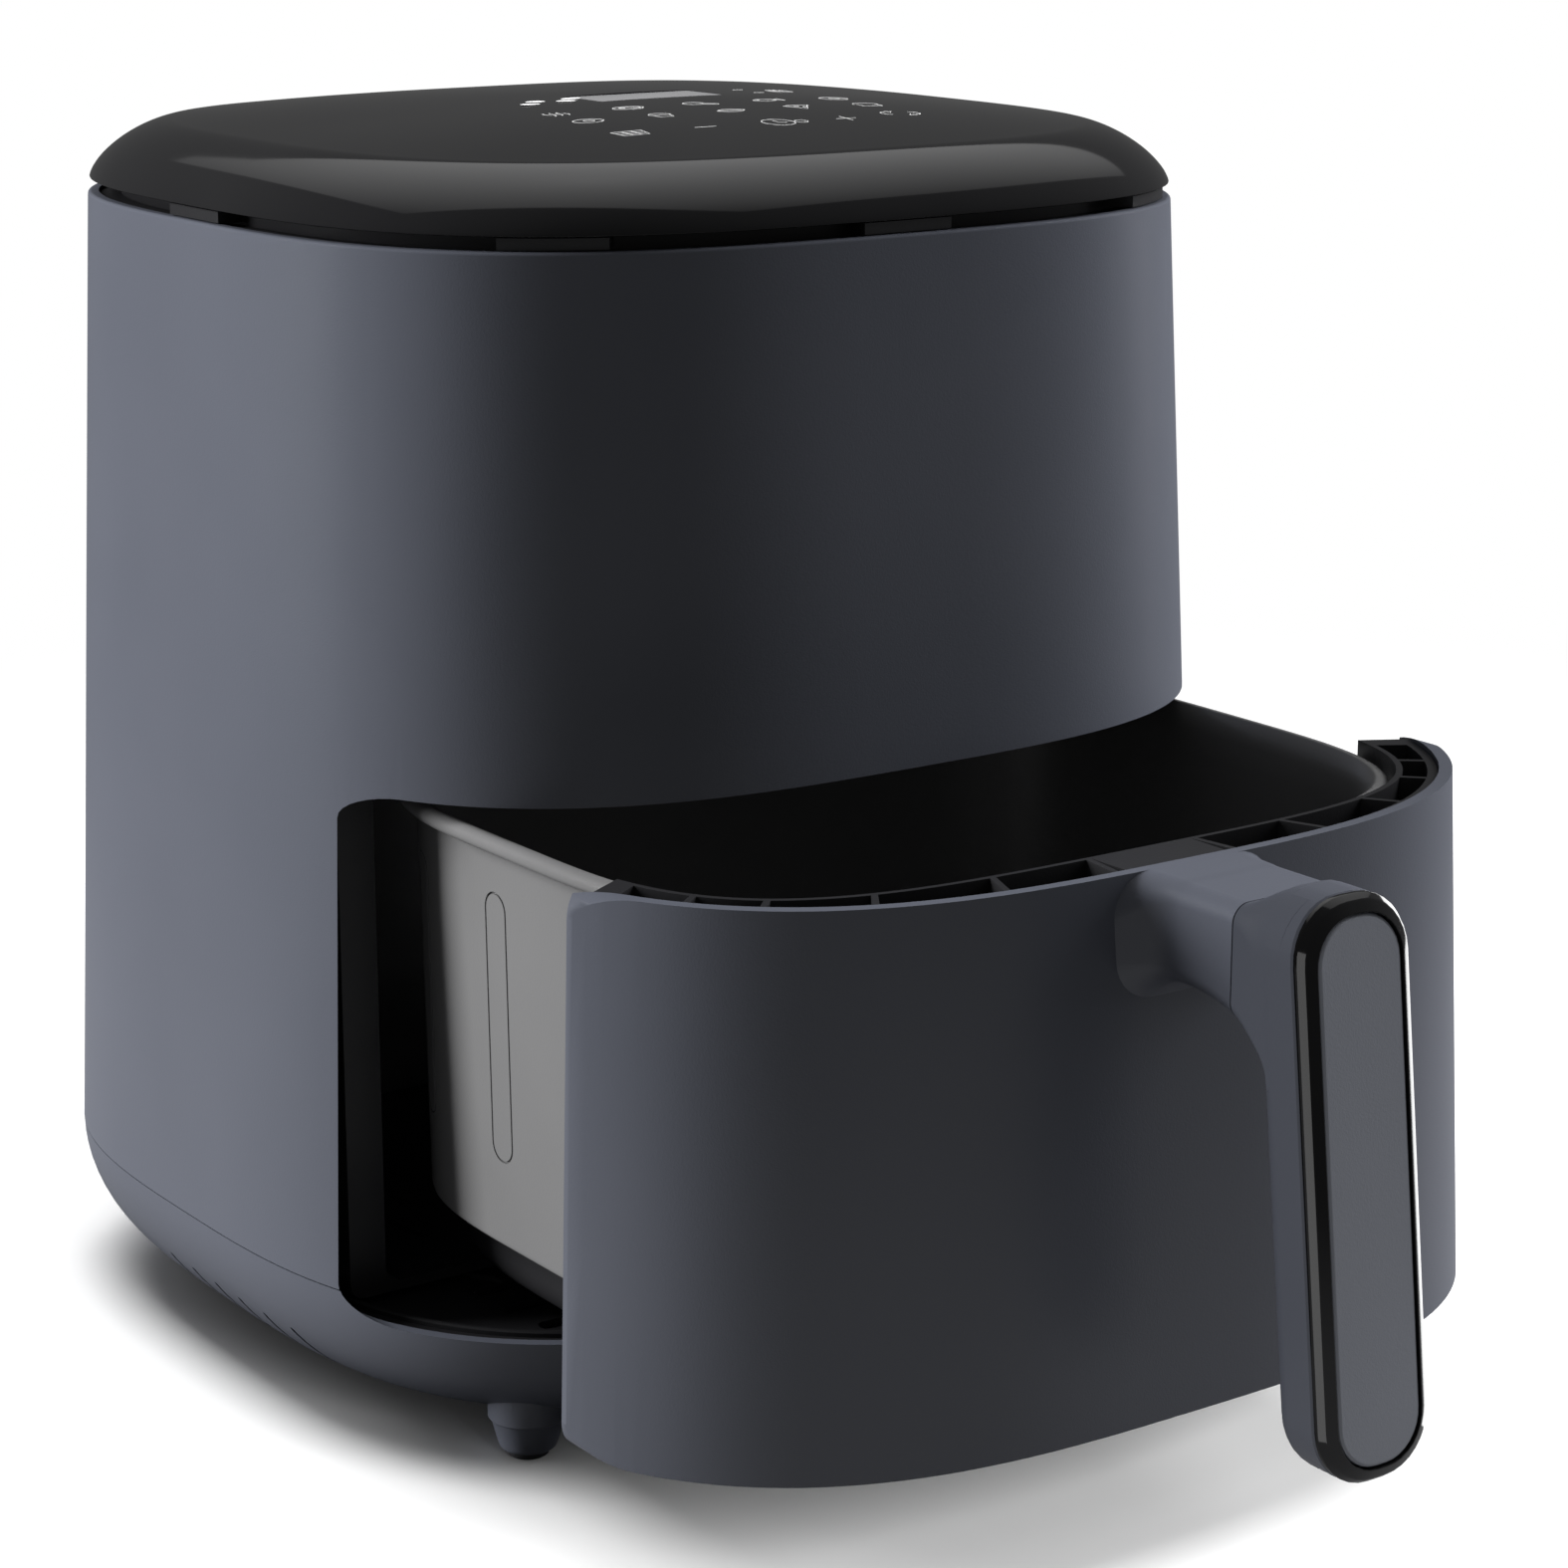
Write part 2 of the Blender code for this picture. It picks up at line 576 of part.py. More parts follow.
def motor_assembly(housing):
    y = POT_CENTRE_Y
    sheet = 0.0015
    low, high = dome_top() + GAP, MOTOR_FLOOR
    half, foot = 0.0620, 0.0120
    outline = [(-half - foot, low), (-half + sheet, low), (-half + sheet, high), (half - sheet, high)]
    outline += [(half - sheet, low), (half + foot, low), (half + foot, low + sheet), (half, low + sheet)]
    outline += [(half, high + sheet), (-half, high + sheet), (-half, low + sheet)]
    outline.append((-half - foot, low + sheet))
    loops = [[Vector((x, place, z)) for x, z in outline] for place in (y - 0.030, y + 0.030)]
    bracket = loft("motor_bracket", loops, "bright_steel", housing, smooth=False)
    hole = [(SHAFT_RADIUS + 0.0020, high - 0.01), (SHAFT_RADIUS + 0.0020, high + 0.01)]
    cut(bracket, turned("bracket_hole", hole, parent=housing, y=y, count=16))
    bottom = high + sheet + GAP
    top = bottom + MOTOR_HEIGHT
    bore = SHAFT_RADIUS + GAP
    can = [(bore, bottom), (MOTOR_RADIUS - 0.002, bottom), (MOTOR_RADIUS, bottom + 0.002)]
    can += [(MOTOR_RADIUS, top - 0.002), (MOTOR_RADIUS - 0.002, top)]
    can += [(0.0010, top), (0.0010, top - 0.006), (bore, top - 0.006)]
    turned("motor_housing", can, "bright_steel", housing, y=y, ring=True, count=28)


def star_loop(hub, tip, z, blades=FAN_BLADES):
    """The outline of a hub with thin blades, about the shaft."""
    root, end = 0.0009 / hub, 0.0007 / tip
    points = []
    for blade in range(blades):
        middle = 2 * math.pi * blade / blades
        points += [(hub, middle - root), (tip, middle - end), (tip, middle + end), (hub, middle + root)]
    return [Vector((r * math.cos(a), r * math.sin(a), z)) for r, a in points]


def bladed_wheel(name, low, high, disc, finish, parent):
    """A disc with radial blades under it and a bore for the shaft."""
    hub = 0.0110
    rim = star_loop(hub, FAN_RADIUS, high)
    edge = FAN_RADIUS + 0.0010
    loops = [star_loop(hub, FAN_RADIUS, low), rim]
    for level in (high, high + disc):
        loops.append([Vector((p.x, p.y, 0)).normalized() * edge + Vector((0, 0, level)) for p in rim])
    wheel = loft(name, loops, finish, parent, smooth=False)
    bore = [(SHAFT_RADIUS + GAP, low - 0.01), (SHAFT_RADIUS + GAP, high + 0.02)]
    cut(wheel, turned(f"{name}_bore", bore, parent=parent, count=TUBE_SIDES))


def fan_set(axis):
    """Pieces on the motor shaft. Their empty stands on the axis, so they are modelled about it."""
    top = MOTOR_FLOOR + 0.029
    low = dome_top() - 0.0215
    shaft = [(SHAFT_RADIUS, low), (SHAFT_RADIUS, top)]
    turned("motor_shaft", shaft, "bright_steel", axis, count=TUBE_SIDES)
    fan_low = dome_top() - 0.0130
    bladed_wheel("convection_fan", fan_low, fan_low + 0.0090, 0.0010, "bright_steel", axis)
    cooler_low = dome_top() + 0.0110
    bladed_wheel("cooling_fan", cooler_low, cooler_low + 0.0130, 0.0015, "black_plastic", axis)
    nut_high = fan_low - GAP
    bore = (SHAFT_RADIUS + GAP) / math.cos(math.pi / 6)
    nut = [(0.0058, nut_high - 0.005), (0.0058, nut_high), (bore, nut_high), (bore, nut_high - 0.005)]
    turned("fan_nut", nut, "bright_steel", axis, ring=True, count=6)


def lid_loops():
    """Outside of the lid, from its bottom edge over the shoulder to the top of the dome."""
    low = RIM_Z + LID_GAP
    loops = []
    steps = 5
    for step in range(steps + 1):
        angle = math.pi / 2 * step / steps
        blend = max(math.cos(angle), 0.0) ** (4 / 3)
        scale = LID_SHOULDER_SCALE + (LID_SCALE - LID_SHOULDER_SCALE) * blend
        loops.append(body_loop(low + LID_SHOULDER_HEIGHT * math.sin(angle) ** (4 / 3), 0.0, RIM_Z, scale))
    for share in (0.80, 0.50, 0.20):
        z = lid_top(share)
        loops.append(body_loop(z, 0.0, RIM_Z, LID_SHOULDER_SCALE * share))
    return loops


def lid_top(share):
    """Height of the domed top at a share of the way out to the shoulder."""
    return RIM_Z + LID_GAP + LID_SHOULDER_HEIGHT + LID_DOME_HEIGHT * (1 - share * share)


def lens_top():
    return lid_top(DISPLAY_WIDTH / 2 / (BODY_HALF_WIDTH * LID_SHOULDER_SCALE)) - GAP / 2


def control_board_top():
    return lid_top(0.0) - LID_WALL - BOARD_DROP - MODULE_HEIGHT - GAP


def lid_tray_top():
    return control_board_top() - BOARD_THICKNESS - TRAY_DROP


def lid_cover(housing):
    low = RIM_Z + LID_GAP
    shoulder = low + LID_SHOULDER_HEIGHT
    inner = [(low, LID_SCALE - 0.022), (low + 0.006, LID_SCALE - 0.040)]
    inner.append((shoulder - 0.0045, LID_SHOULDER_SCALE + 0.020))
    inner += [(lid_top(share) - LID_WALL, LID_SHOULDER_SCALE * share) for share in (0.90, 0.40)]
    inside = [body_loop(z, 0.0, RIM_Z, scale) for z, scale in inner]
    lid = loft("lid_cover", inside[::-1] + lid_loops(), "gloss_black", housing)
    half_x, half_y = DISPLAY_WIDTH / 2 + GAP, DISPLAY_DEPTH / 2 + GAP
    floor_z = lens_top() - LENS_THICKNESS - GAP
    low, high = (-half_x, DISPLAY_Y - half_y, floor_z), (half_x, DISPLAY_Y + half_y, 0.4)
    cut(lid, block("window_cutter", low, high, parent=housing))


def controls(housing):
    half_x, half_y = DISPLAY_WIDTH / 2, DISPLAY_DEPTH / 2
    top = lens_top()
    low, high = (-half_x, DISPLAY_Y - half_y, top - LENS_THICKNESS), (half_x, DISPLAY_Y + half_y, top)
    block("display_lens", low, high, "display_glass", housing)
    under_lid = lid_top(0.0) - LID_WALL - BOARD_DROP
    low = (-0.018, DISPLAY_Y - 0.0075, under_lid - MODULE_HEIGHT)
    high = (0.018, DISPLAY_Y + 0.0075, under_lid)
    block("display_module", low, high, "black_plastic", housing)
    board_top = control_board_top()
    low, high = (-0.060, -0.078, board_top - BOARD_THICKNESS), (0.060, 0.012, board_top)
    block("control_board", low, high, "board_green", housing)
    tray_top = lid_tray_top()
    inset = VENT_RING_INSET + 0.0030
    loops = [body_loop(z, inset, RIM_Z) for z in (tray_top - 0.0020, tray_top)]
    tray = loft("lid_tray", loops, "black_plastic", housing)
    cut(tray, block("ribbon_cutter", (-0.020, 0.060, 0.0), (0.020, 0.072, 0.4), parent=housing))
    for name, x, y in (("left", -0.050, -0.030), ("right", 0.050, -0.030), ("rear", 0.0, 0.008)):
        post = [(0.003, tray_top - 0.001), (0.003, board_top - BOARD_THICKNESS - GAP)]
        post = turned(f"board_post_{name}", post, parent=housing, x=x, y=y, count=TUBE_SIDES)
        cut(tray, post, operation="UNION")


def vent_ring(housing):
    """The black band under the lid. It seats in the shell, and its tabs show in the gap."""
    seat = WALL + GAP
    low, high = RIM_Z - 0.0120, RIM_Z + LID_GAP + 0.0020
    path = [(seat, low), (seat, RIM_Z - 0.0010), (0.0080, RIM_Z - 0.0005), (0.0080, high)]
    path += [(VENT_RING_INSET, high), (VENT_RING_INSET, low)]
    loops = [body_loop(z, inset, RIM_Z) for inset, z in path]
    band = loft("vent_ring", loops, "black_plastic", housing, ring=True)
    tab_low, tab_high = RIM_Z + GAP, RIM_Z + LID_GAP - GAP
    collar = [(0.0015, tab_low), (0.0015, tab_high), (0.0090, tab_high), (0.0090, tab_low)]
    tabs = loft("tab_band", [body_loop(z, inset, RIM_Z) for inset, z in collar], parent=housing, ring=True)
    strip = 0.2
    for index, degrees in enumerate(TAB_DEGREES):
        c, s = math.cos(math.radians(degrees)), math.sin(math.radians(degrees))
        corners = [(strip, -TAB_HALF), (strip, TAB_HALF), (-strip, TAB_HALF), (-strip, -TAB_HALF)]
        loops = []
        for z in (tab_low - 0.01, tab_high + 0.01):
            loops.append([Vector((x * c - y * s, x * s + y * c, z)) for x, y in corners])
        keep = loft(f"tab_strip_{index}", loops, parent=housing, smooth=False)
        tab = new_object(f"tab_pair_{index}", tabs.data.copy(), None, housing)
        cut(tab, keep, operation="INTERSECT")
        cut(band, tab, operation="UNION")


def rear_grille(housing):
    grille = wall_ring("rear_grille", GRILLE_BOTTOM - 0.02, GRILLE_TOP + 0.02, WALL, "black_plastic", housing)
    low = (-GRILLE_HALF_WIDTH + GAP, 0.08, GRILLE_BOTTOM + GAP)
    keep = block("grille_keep", low, (GRILLE_HALF_WIDTH - GAP, 0.30, GRILLE_TOP - GAP), parent=housing)
    cut(grille, keep, operation="INTERSECT")
    pitch = (GRILLE_TOP - GRILLE_BOTTOM) / (GRILLE_SLOTS + 1)
    for slot in range(1, GRILLE_SLOTS + 1):
        z = GRILLE_BOTTOM + pitch * slot
        half = GRILLE_HALF_WIDTH - 0.007
        low, high = (-half, 0.08, z - 0.0022), (half, 0.30, z + 0.0022)
        cut(grille, block(f"louvre_{slot}", low, high, parent=housing))


def rear_wall_y(z):
    return BODY_REAR * plan_scale(z)


def cord_gland(housing):
    wall = rear_wall_y(GLAND_Z)
    slope = BODY_REAR * BODY_FLARE * GLAND_FLANGE
    out, back = wall + slope + GAP, wall - WALL - slope - GAP
    bore = 0.0040
    face = out + GLAND_PROUD
    path = [(bore, face), (GLAND_FLANGE - 0.001, face), (GLAND_FLANGE, face - 0.001), (GLAND_FLANGE, out)]
    path += [(GLAND_RADIUS, out), (GLAND_RADIUS, back), (GLAND_FLANGE, back)]
    path += [(GLAND_FLANGE, back - 0.003), (bore, back - 0.003)]
    turned_along_y("cord_gland", path, 0.0, GLAND_Z, "black_plastic", housing, ring=True, count=20)


def electrics(housing):
    y, bottom, top = BOARD_Y, BOARD_BOTTOM, BOARD_TOP
    face = y - BOARD_THICKNESS / 2
    low, high = (-0.055, face, bottom), (0.055, face + BOARD_THICKNESS, top)
    board = block("power_board", low, high, "board_green", housing)
    components = [("relay", -0.030, 0.215, 0.011), ("choke", 0.005, 0.220, 0.013)]
    components.append(("capacitor", 0.035, 0.240, 0.009))
    for name, x, z, size in components:
        low, high = (x - size, face - 0.014, z - size), (x + size, face + 0.0005, z + size)
        cut(board, block(name, low, high, parent=housing), operation="UNION")
    roof = dome_top() + GAP
    cutout = [(0.0085, roof), (0.0085, roof + 0.004), (0.0060, roof + 0.009)]
    turned("thermal_cutout", cutout, "black_plastic", housing, -0.078, POT_CENTRE_Y - 0.045, count=16)
    probe = [(PROBE_RADIUS, roof - 0.022), (PROBE_RADIUS, roof), (0.0045, roof), (0.0045, roof + 0.003)]
    turned("temperature_probe", probe, "bright_steel", housing, *probe_place(), count=TUBE_SIDES)
    reed_x = POT_HALF_WIDTH + CHAMBER_CLEARANCE + CHAMBER_SHEET + 0.0015
    low = (reed_x, CHAMBER_FRONT - 0.0010, MAGNET_Z - 0.006)
    high = (reed_x + 0.0045, CHAMBER_FRONT + 0.0140, MAGNET_Z + 0.006)
    block("reed_switch", low, high, "black_plastic", housing)
    inside = rear_wall_y(GLAND_Z) - WALL - BODY_REAR * BODY_FLARE * GLAND_FLANGE - 0.003 - 2 * GAP
    mains = [(0, inside, GLAND_Z), (0, inside - 0.008, GLAND_Z + 0.003)]
    mains.append((0.004, inside - 0.016, GLAND_Z + 0.020))
    mains += [(0.008, inside - 0.018, 0.130), (0.008, y + 0.008, bottom - 0.020)]
    mains += [(0.008, y, bottom - 0.008), (0.008, y, bottom - GAP)]
    tube("mains_lead", smooth_route(mains), 0.0028, "rubber_black", housing, 1)
    motor_top = MOTOR_FLOOR + 0.0015 + GAP + MOTOR_HEIGHT + 4 * GAP
    lead = [(0.014, POT_CENTRE_Y + 0.012, motor_top), (0.014, POT_CENTRE_Y + 0.012, motor_top + 0.005)]
    lead += [(0.016, 0.040, motor_top + 0.004), (0.018, y - 0.008, top + 0.008)]
    lead += [(0.018, y, top + 0.005), (0.018, y, top + GAP)]
    tube("motor_lead", smooth_route(lead), 0.0014, "wire_insulation", housing, 1)
    for name, x, place in terminal_places():
        goal = 0.032 if name == "outer" else -0.020
        first = dome_top() - HEATER_DROP + 0.030 + 3 * GAP
        lead = [(x, place, first), (x, place, first + 0.005), ((x + goal) / 2, 0.080, first + 0.004)]
        lead += [(goal, y - 0.010, bottom - 0.012), (goal, y, bottom - 0.008), (goal, y, bottom - GAP)]
        tube(f"heater_lead_{name}", smooth_route(lead), 0.0014, "wire_insulation", housing, 1)
    tray_top = lid_tray_top()
    ribbon = [(y + 0.0018, top - 0.010), (y + 0.0018, top + 0.008), (0.066, tray_top - 0.010)]
    ribbon += [(0.066, tray_top + 0.006), (0.040, tray_top + 0.009), (0.012 + GAP, tray_top + 0.0128)]
    flat_cable("ribbon_cable", ribbon, 0.016, 0.0010, housing)


def flat_cable(name, route, width, thickness, parent):
    """A flat cable through (y, z) points: a strip of even thickness."""
    bent = smooth_route([(0.0, y, z) for y, z in route])
    loops = []
    for index, point in enumerate(bent):
        before, after = bent[max(index - 1, 0)], bent[min(index + 1, len(bent) - 1)]
        along = (after - before).normalized()
        across = Vector((0, -along.z, along.y)) * thickness / 2
        half = Vector((width / 2, 0, 0))
        corners = (-half - across, half - across, half + across, across - half)
        loops.append([point + corner for corner in corners])
    return loft(name, loops, "wire_insulation", parent, smooth=False)


# Drawer ----------------------------------------------------------------------------------


def neck_loops(start, end):
    """Rounded sections along the neck. The collar flares towards the panel."""
    loops = []
    for share in (0.0, 0.05, 0.14, 0.28, 0.46, 1.0):
        y = start + (end - start) * share
        grow = COLLAR_GROWTH * max(0.0, 1 - share / 0.46) ** 2.2
        radius = 0.0045 + grow
        top = min(NECK_TOP + grow, OPENING_TOP - DRAWER_CLEARANCE)
        outline = rounded_rectangle(HANDLE_HALF_WIDTH + grow, NECK_BOTTOM - grow, top, radius, 0.0035, 4)
        loops.append([Vector((x, y, z)) for x, z in outline])
    return loops


def handle_screw_holes(target, name, start, end, parent, head_until=None):
    for side in (-1, 1):
        radius = SCREW_SHANK + GAP
        path = [(radius, start), (radius, end)]
        if head_until is not None:
            head = SCREW_HEAD + GAP
            path = [(head, start), (head, head_until), (radius, head_until), (radius, end)]
        place = (side * HANDLE_SCREW_X, HANDLE_SCREW_Z)
        cut(target, turned_along_y(f"{name}_{side:+d}", path, *place, parent=parent, count=TUBE_SIDES))


def panel_front(z=HANDLE_SCREW_Z):
    return -BODY_FRONT * plan_scale(z)


def neck_end():
    return panel_front() - NECK_LENGTH


def drawer_front(drawer):
    low, high = OPENING_BOTTOM - 0.02, OPENING_TOP + 0.02
    panel = wall_ring("drawer_front", low, high, PANEL_WALL, "slate_plastic", drawer)
    keep = opening_prism("panel_keep", DRAWER_CLEARANCE, -0.30, -0.03, drawer)
    cut(panel, keep, operation="INTERSECT")
    start = panel_front() + PANEL_WALL / 2
    cut(panel, loft("neck_stub", neck_loops(start, neck_end()), parent=drawer), operation="UNION")
    handle_screw_holes(panel, "panel_screw_hole", panel_front() + 0.03, neck_end() - 0.01, drawer)


def inside_pot_zone(x, y, clearance):
    width, depth = POT_HALF_WIDTH + clearance, POT_HALF_DEPTH + clearance
    return abs(x / width) ** POT_EXPONENT + abs((y - POT_CENTRE_Y) / depth) ** POT_EXPONENT < 1


def reach(angle, inside):
    """How far a zone reaches from the housing's middle in one direction."""
    low, high = 0.0, 0.2
    for _ in range(40):
        middle = (low + high) / 2
        if inside(middle * math.sin(angle), -middle * math.cos(angle)):
            low = middle
        else:
            high = middle
    return low


def inside_body_zone(x, y, z, outset):
    k = plan_scale(z)
    width, depth = BODY_HALF_WIDTH * k - outset, BODY_FRONT * k - outset
    return abs(x / width) ** BODY_EXPONENT + abs(y / depth) ** BODY_EXPONENT < 1


def frame_sector(name, first, last, outset, clearance, low, high, steps, finish=None, parent=None):
    """A stretch of the ring between pot and panel, over a range of angles in degrees from the front."""
    loops = []
    for step in range(steps + 1):
        angle = math.radians(first + (last - first) * step / steps)
        rise = []
        for z in (low, high):
            outer = reach(angle, lambda x, y: inside_body_zone(x, y, z, outset))
            inner = reach(angle, lambda x, y: inside_pot_zone(x, y, clearance))
            rise.append([Vector((r * math.sin(angle), -r * math.cos(angle), z)) for r in (inner, outer)])
        loops.append([rise[0][0], rise[0][1], rise[1][1], rise[1][0]])
    return loft(name, loops, finish, parent, smooth=False)


def drawer_frame(drawer):
    top = OPENING_TOP - DRAWER_CLEARANCE - 0.0012
    edge = PANEL_WALL + GAP
    end = FRAME_END_DEGREES
    size = (edge, POT_CLEARANCE, FRAME_BOTTOM, top, 32)
    frame = frame_sector("drawer_frame", -end, end, *size, "black_plastic", drawer)
    size = (edge + 0.0025, POT_CLEARANCE + 0.0015, FRAME_BOTTOM + 0.016, 0.2, 3)
    for index, (first, last) in enumerate(FRAME_POCKETS):
        for side in (-1, 1):
            ends = sorted((side * first, side * last))
            cut(frame, frame_sector(f"frame_pocket_{index}_{side:+d}", *ends, *size, parent=drawer))
    pot_front = POT_CENTRE_Y - POT_HALF_DEPTH
    span = (pot_front + 0.02, panel_front() - 0.01)
    handle_screw_holes(frame, "frame_screw_hole", *span, drawer, pot_front - 0.006)
    x, y = magnet_place()
    half = MAGNET_HALF + GAP
    low, high = (x - half, y - 2 * half, FRAME_BOTTOM - 0.01), (x + half, y + 2 * half, MAGNET_Z + 0.005)
    cut(frame, block("magnet_seat", low, high, parent=drawer))


def magnet_place():
    angle = math.radians(FRAME_END_DEGREES - 3.2)
    inner = reach(angle, lambda x, y: inside_pot_zone(x, y, POT_CLEARANCE))
    return (inner + 0.0040) * math.sin(angle), -(inner + 0.0040) * math.cos(angle)


def drawer_magnet(drawer):
    x, y = magnet_place()
    half = MAGNET_HALF
    low, high = (x - half, y - 2 * half, FRAME_BOTTOM), (x + half, y + 2 * half, MAGNET_Z + 0.0045)
    block("drawer_magnet", low, high, "magnet_nickel", drawer)


def pot(drawer):
    """A deep pan with a rolled bead at its rim and a step under its skirt."""
    skirt = POT_BEAD + 0.0015
    band = skirt + 0.0065
    inside = [(POT_BOTTOM + POT_WALL, band + 0.0150), (POT_BOTTOM + POT_WALL + 0.0015, band + 0.0080)]
    inside += [(POT_BOTTOM + 0.0110, band + POT_WALL), (POT_SKIRT_BOTTOM + 0.004, skirt + POT_WALL + 0.003)]
    inside += [(POT_TOP - 0.020, POT_BEAD + POT_WALL), (POT_TOP - 0.0025, POT_BEAD + 0.0010)]
    inside += [(POT_TOP - 0.0004, POT_BEAD - 0.0008)]
    outside = [(POT_TOP, POT_BEAD - 0.0022), (POT_TOP - 0.0010, 0.0004), (POT_TOP - 0.0024, 0.0)]
    outside += [(POT_TOP - 0.0040, 0.0006), (POT_TOP - 0.0046, POT_BEAD), (POT_SKIRT_BOTTOM, skirt)]
    outside += [(POT_SKIRT_BOTTOM - 0.0004, band), (POT_BOTTOM + 0.0080, band + 0.0008)]
    outside += [(POT_BOTTOM + 0.0022, band + 0.0042), (POT_BOTTOM, band + 0.0110)]
    loft("pot", [pot_loop(z, inset) for z, inset in inside + outside], "pot_coating", drawer)


def handle(drawer):
    middle = (HANDLE_TOP + HANDLE_BOTTOM) / 2
    front = panel_front() - HANDLE_REACH

    def section(inset, depth):
        """The handle's outline at a depth behind its front edge, leaning as it goes down."""
        corner = HANDLE_CORNER - inset * 0.8
        bottom, top = HANDLE_BOTTOM + inset, HANDLE_TOP - inset
        outline = rounded_rectangle(HANDLE_HALF_WIDTH - inset, bottom, top, corner, corner)
        return [Vector((x, front + depth + HANDLE_LEAN * (z - middle), z)) for x, z in outline]

    seat = BEZEL_SEAT
    ring = [(0.0, seat), (0.0, 0.0003), (BEZEL_WIDTH - 0.0006, -BEZEL_RISE)]
    ring += [(BEZEL_WIDTH, -BEZEL_RISE + 0.0002), (BEZEL_WIDTH, seat)]
    loft("handle_bezel", [section(*place) for place in ring], "gloss_black", drawer, ring=True)
    fill = BEZEL_WIDTH + GAP
    plate = [(fill, seat), (fill, -BEZEL_RISE + 0.0006), (fill + 0.0007, -BEZEL_RISE + 0.0001)]
    loft("handle_insert", [section(*place) for place in plate], "slate_plastic", drawer)
    deep = HANDLE_DEPTH
    back = [(0.0, seat + GAP), (0.0, deep * 0.64), (0.0010, deep * 0.82), (0.0026, deep * 0.94)]
    back.append((0.0050, deep))
    grip = loft("handle_grip", [section(*place) for place in back], "slate_plastic", drawer)
    outline = rounded_rectangle(HANDLE_HALF_WIDTH, NECK_BOTTOM, NECK_TOP, 0.0045, 0.0035, 4)
    stop = front + deep * 0.6 + HANDLE_LEAN * (NECK_BOTTOM - middle)
    loops = [[Vector((x, y, z)) for x, z in outline] for y in (neck_end() - GAP, stop)]
    cut(grip, loft("grip_neck", loops, parent=drawer), operation="UNION")
    handle_screw_holes(grip, "grip_screw_hole", neck_end() + 0.01, neck_end() - 0.010, drawer)
    head = POT_CENTRE_Y - POT_HALF_DEPTH - 0.006 + GAP
    rod = [(SCREW_HEAD, head + 0.0022), (SCREW_HEAD, head), (SCREW_SHANK, head)]
    rod.append((SCREW_SHANK, neck_end() - 0.009))
    for side, name in ((-1, "left"), (1, "right")):
        place = (side * HANDLE_SCREW_X, HANDLE_SCREW_Z)
        turned_along_y(f"handle_screw_{name}", rod, *place, "bright_steel", drawer, count=TUBE_SIDES)


# Crisper grid ----------------------------------------------------------------------------


def crisper_grid(grid):
    skirt = POT_BEAD + 0.0015
    edge = skirt + 0.0065 + POT_WALL + GRID_CLEARANCE
    low, high = GRID_HEIGHT, GRID_HEIGHT + GRID_THICKNESS
    path = [(low, edge + 0.001), (low + 0.001, edge), (high - 0.0005, edge), (high, edge + 0.0006)]
    plate = loft("crisper_grid", [pot_loop(z, inset) for z, inset in path], "pot_coating", grid)
    for row in range(-3, 4):
        count = 4 if abs(row) < 3 else 3
        for column in range(count):
            x = (column - (count - 1) / 2) * 0.040
            y = POT_CENTRE_Y + row * 0.020
            corners = (x - 0.013, y - 0.0035, low - 0.01), (x + 0.013, y + 0.0035, high + 0.01)
            cut(plate, block(f"grid_slot_{row}_{column}", *corners, parent=grid))
    foot = POT_BOTTOM + POT_WALL + GAP
    for name, x, y in foot_places():
        place_x = math.copysign(POT_HALF_WIDTH * 0.60, x)
        place_y = POT_CENTRE_Y + math.copysign(POT_HALF_DEPTH * 0.52, y)
        profile = [(BUMPER_RADIUS * 0.8, foot), (BUMPER_RADIUS, foot + 0.003), (BUMPER_RADIUS, low - GAP)]
        turned(f"grid_bumper_{name}", profile, "rubber_black", grid, place_x, place_y, count=16)


def empty(name, place, parent=None):
    made = bpy.data.objects.new(name, None)
    bpy.context.scene.collection.objects.link(made)
    made.location = place
    made.parent = parent
    return made


def main():
    for obj in list(bpy.data.objects):
        bpy.data.objects.remove(obj, do_unlink=True)
    lowest_lean = HANDLE_LEAN * ((HANDLE_TOP - HANDLE_BOTTOM) / 2 - BEZEL_WIDTH + 0.0006)
    foremost = panel_front() - HANDLE_REACH - DRAWER_OUT - lowest_lean - BEZEL_RISE
    hindmost = rear_wall_y(GLAND_Z) + BODY_REAR * BODY_FLARE * GLAND_FLANGE + GAP + GLAND_PROUD
    housing = empty("housing", (0.0, -(foremost + hindmost) / 2, 0.0))
    drawer = empty("drawer_slide", (0.0, -DRAWER_OUT, 0.0), housing)
    grid = empty("grid_lift", (0.0, 0.0, 0.0), drawer)
    axis = empty("fan_axis", (0.0, POT_CENTRE_Y, 0.0), housing)

    for make in (outer_shell, base_tray, feet_and_screws, floor_plate, front_flange):
        make(housing)
    for make in (hot_chamber, drawer_rails, heat_reflector, heater_element, heater_guard):
        make(housing)
    for make in (motor_assembly, lid_cover, controls, vent_ring, rear_grille, cord_gland, electrics):
        make(housing)
    fan_set(axis)
    for make in (drawer_front, drawer_frame, drawer_magnet, pot, handle):
        make(drawer)
    crisper_grid(grid)


main()
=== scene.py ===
# %% [markdown]
# # An air fryer with its drawer drawn out
#
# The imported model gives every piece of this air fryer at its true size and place. This
# lesson keeps that frame, rebuilds each piece that the eye rests on with finer shape, and
# gives every surface a finish from nodes. It starts with the frame, because all places in
# the lesson are read from it.

import json
import math

import bmesh
import bpy
from mathutils import Matrix, Vector


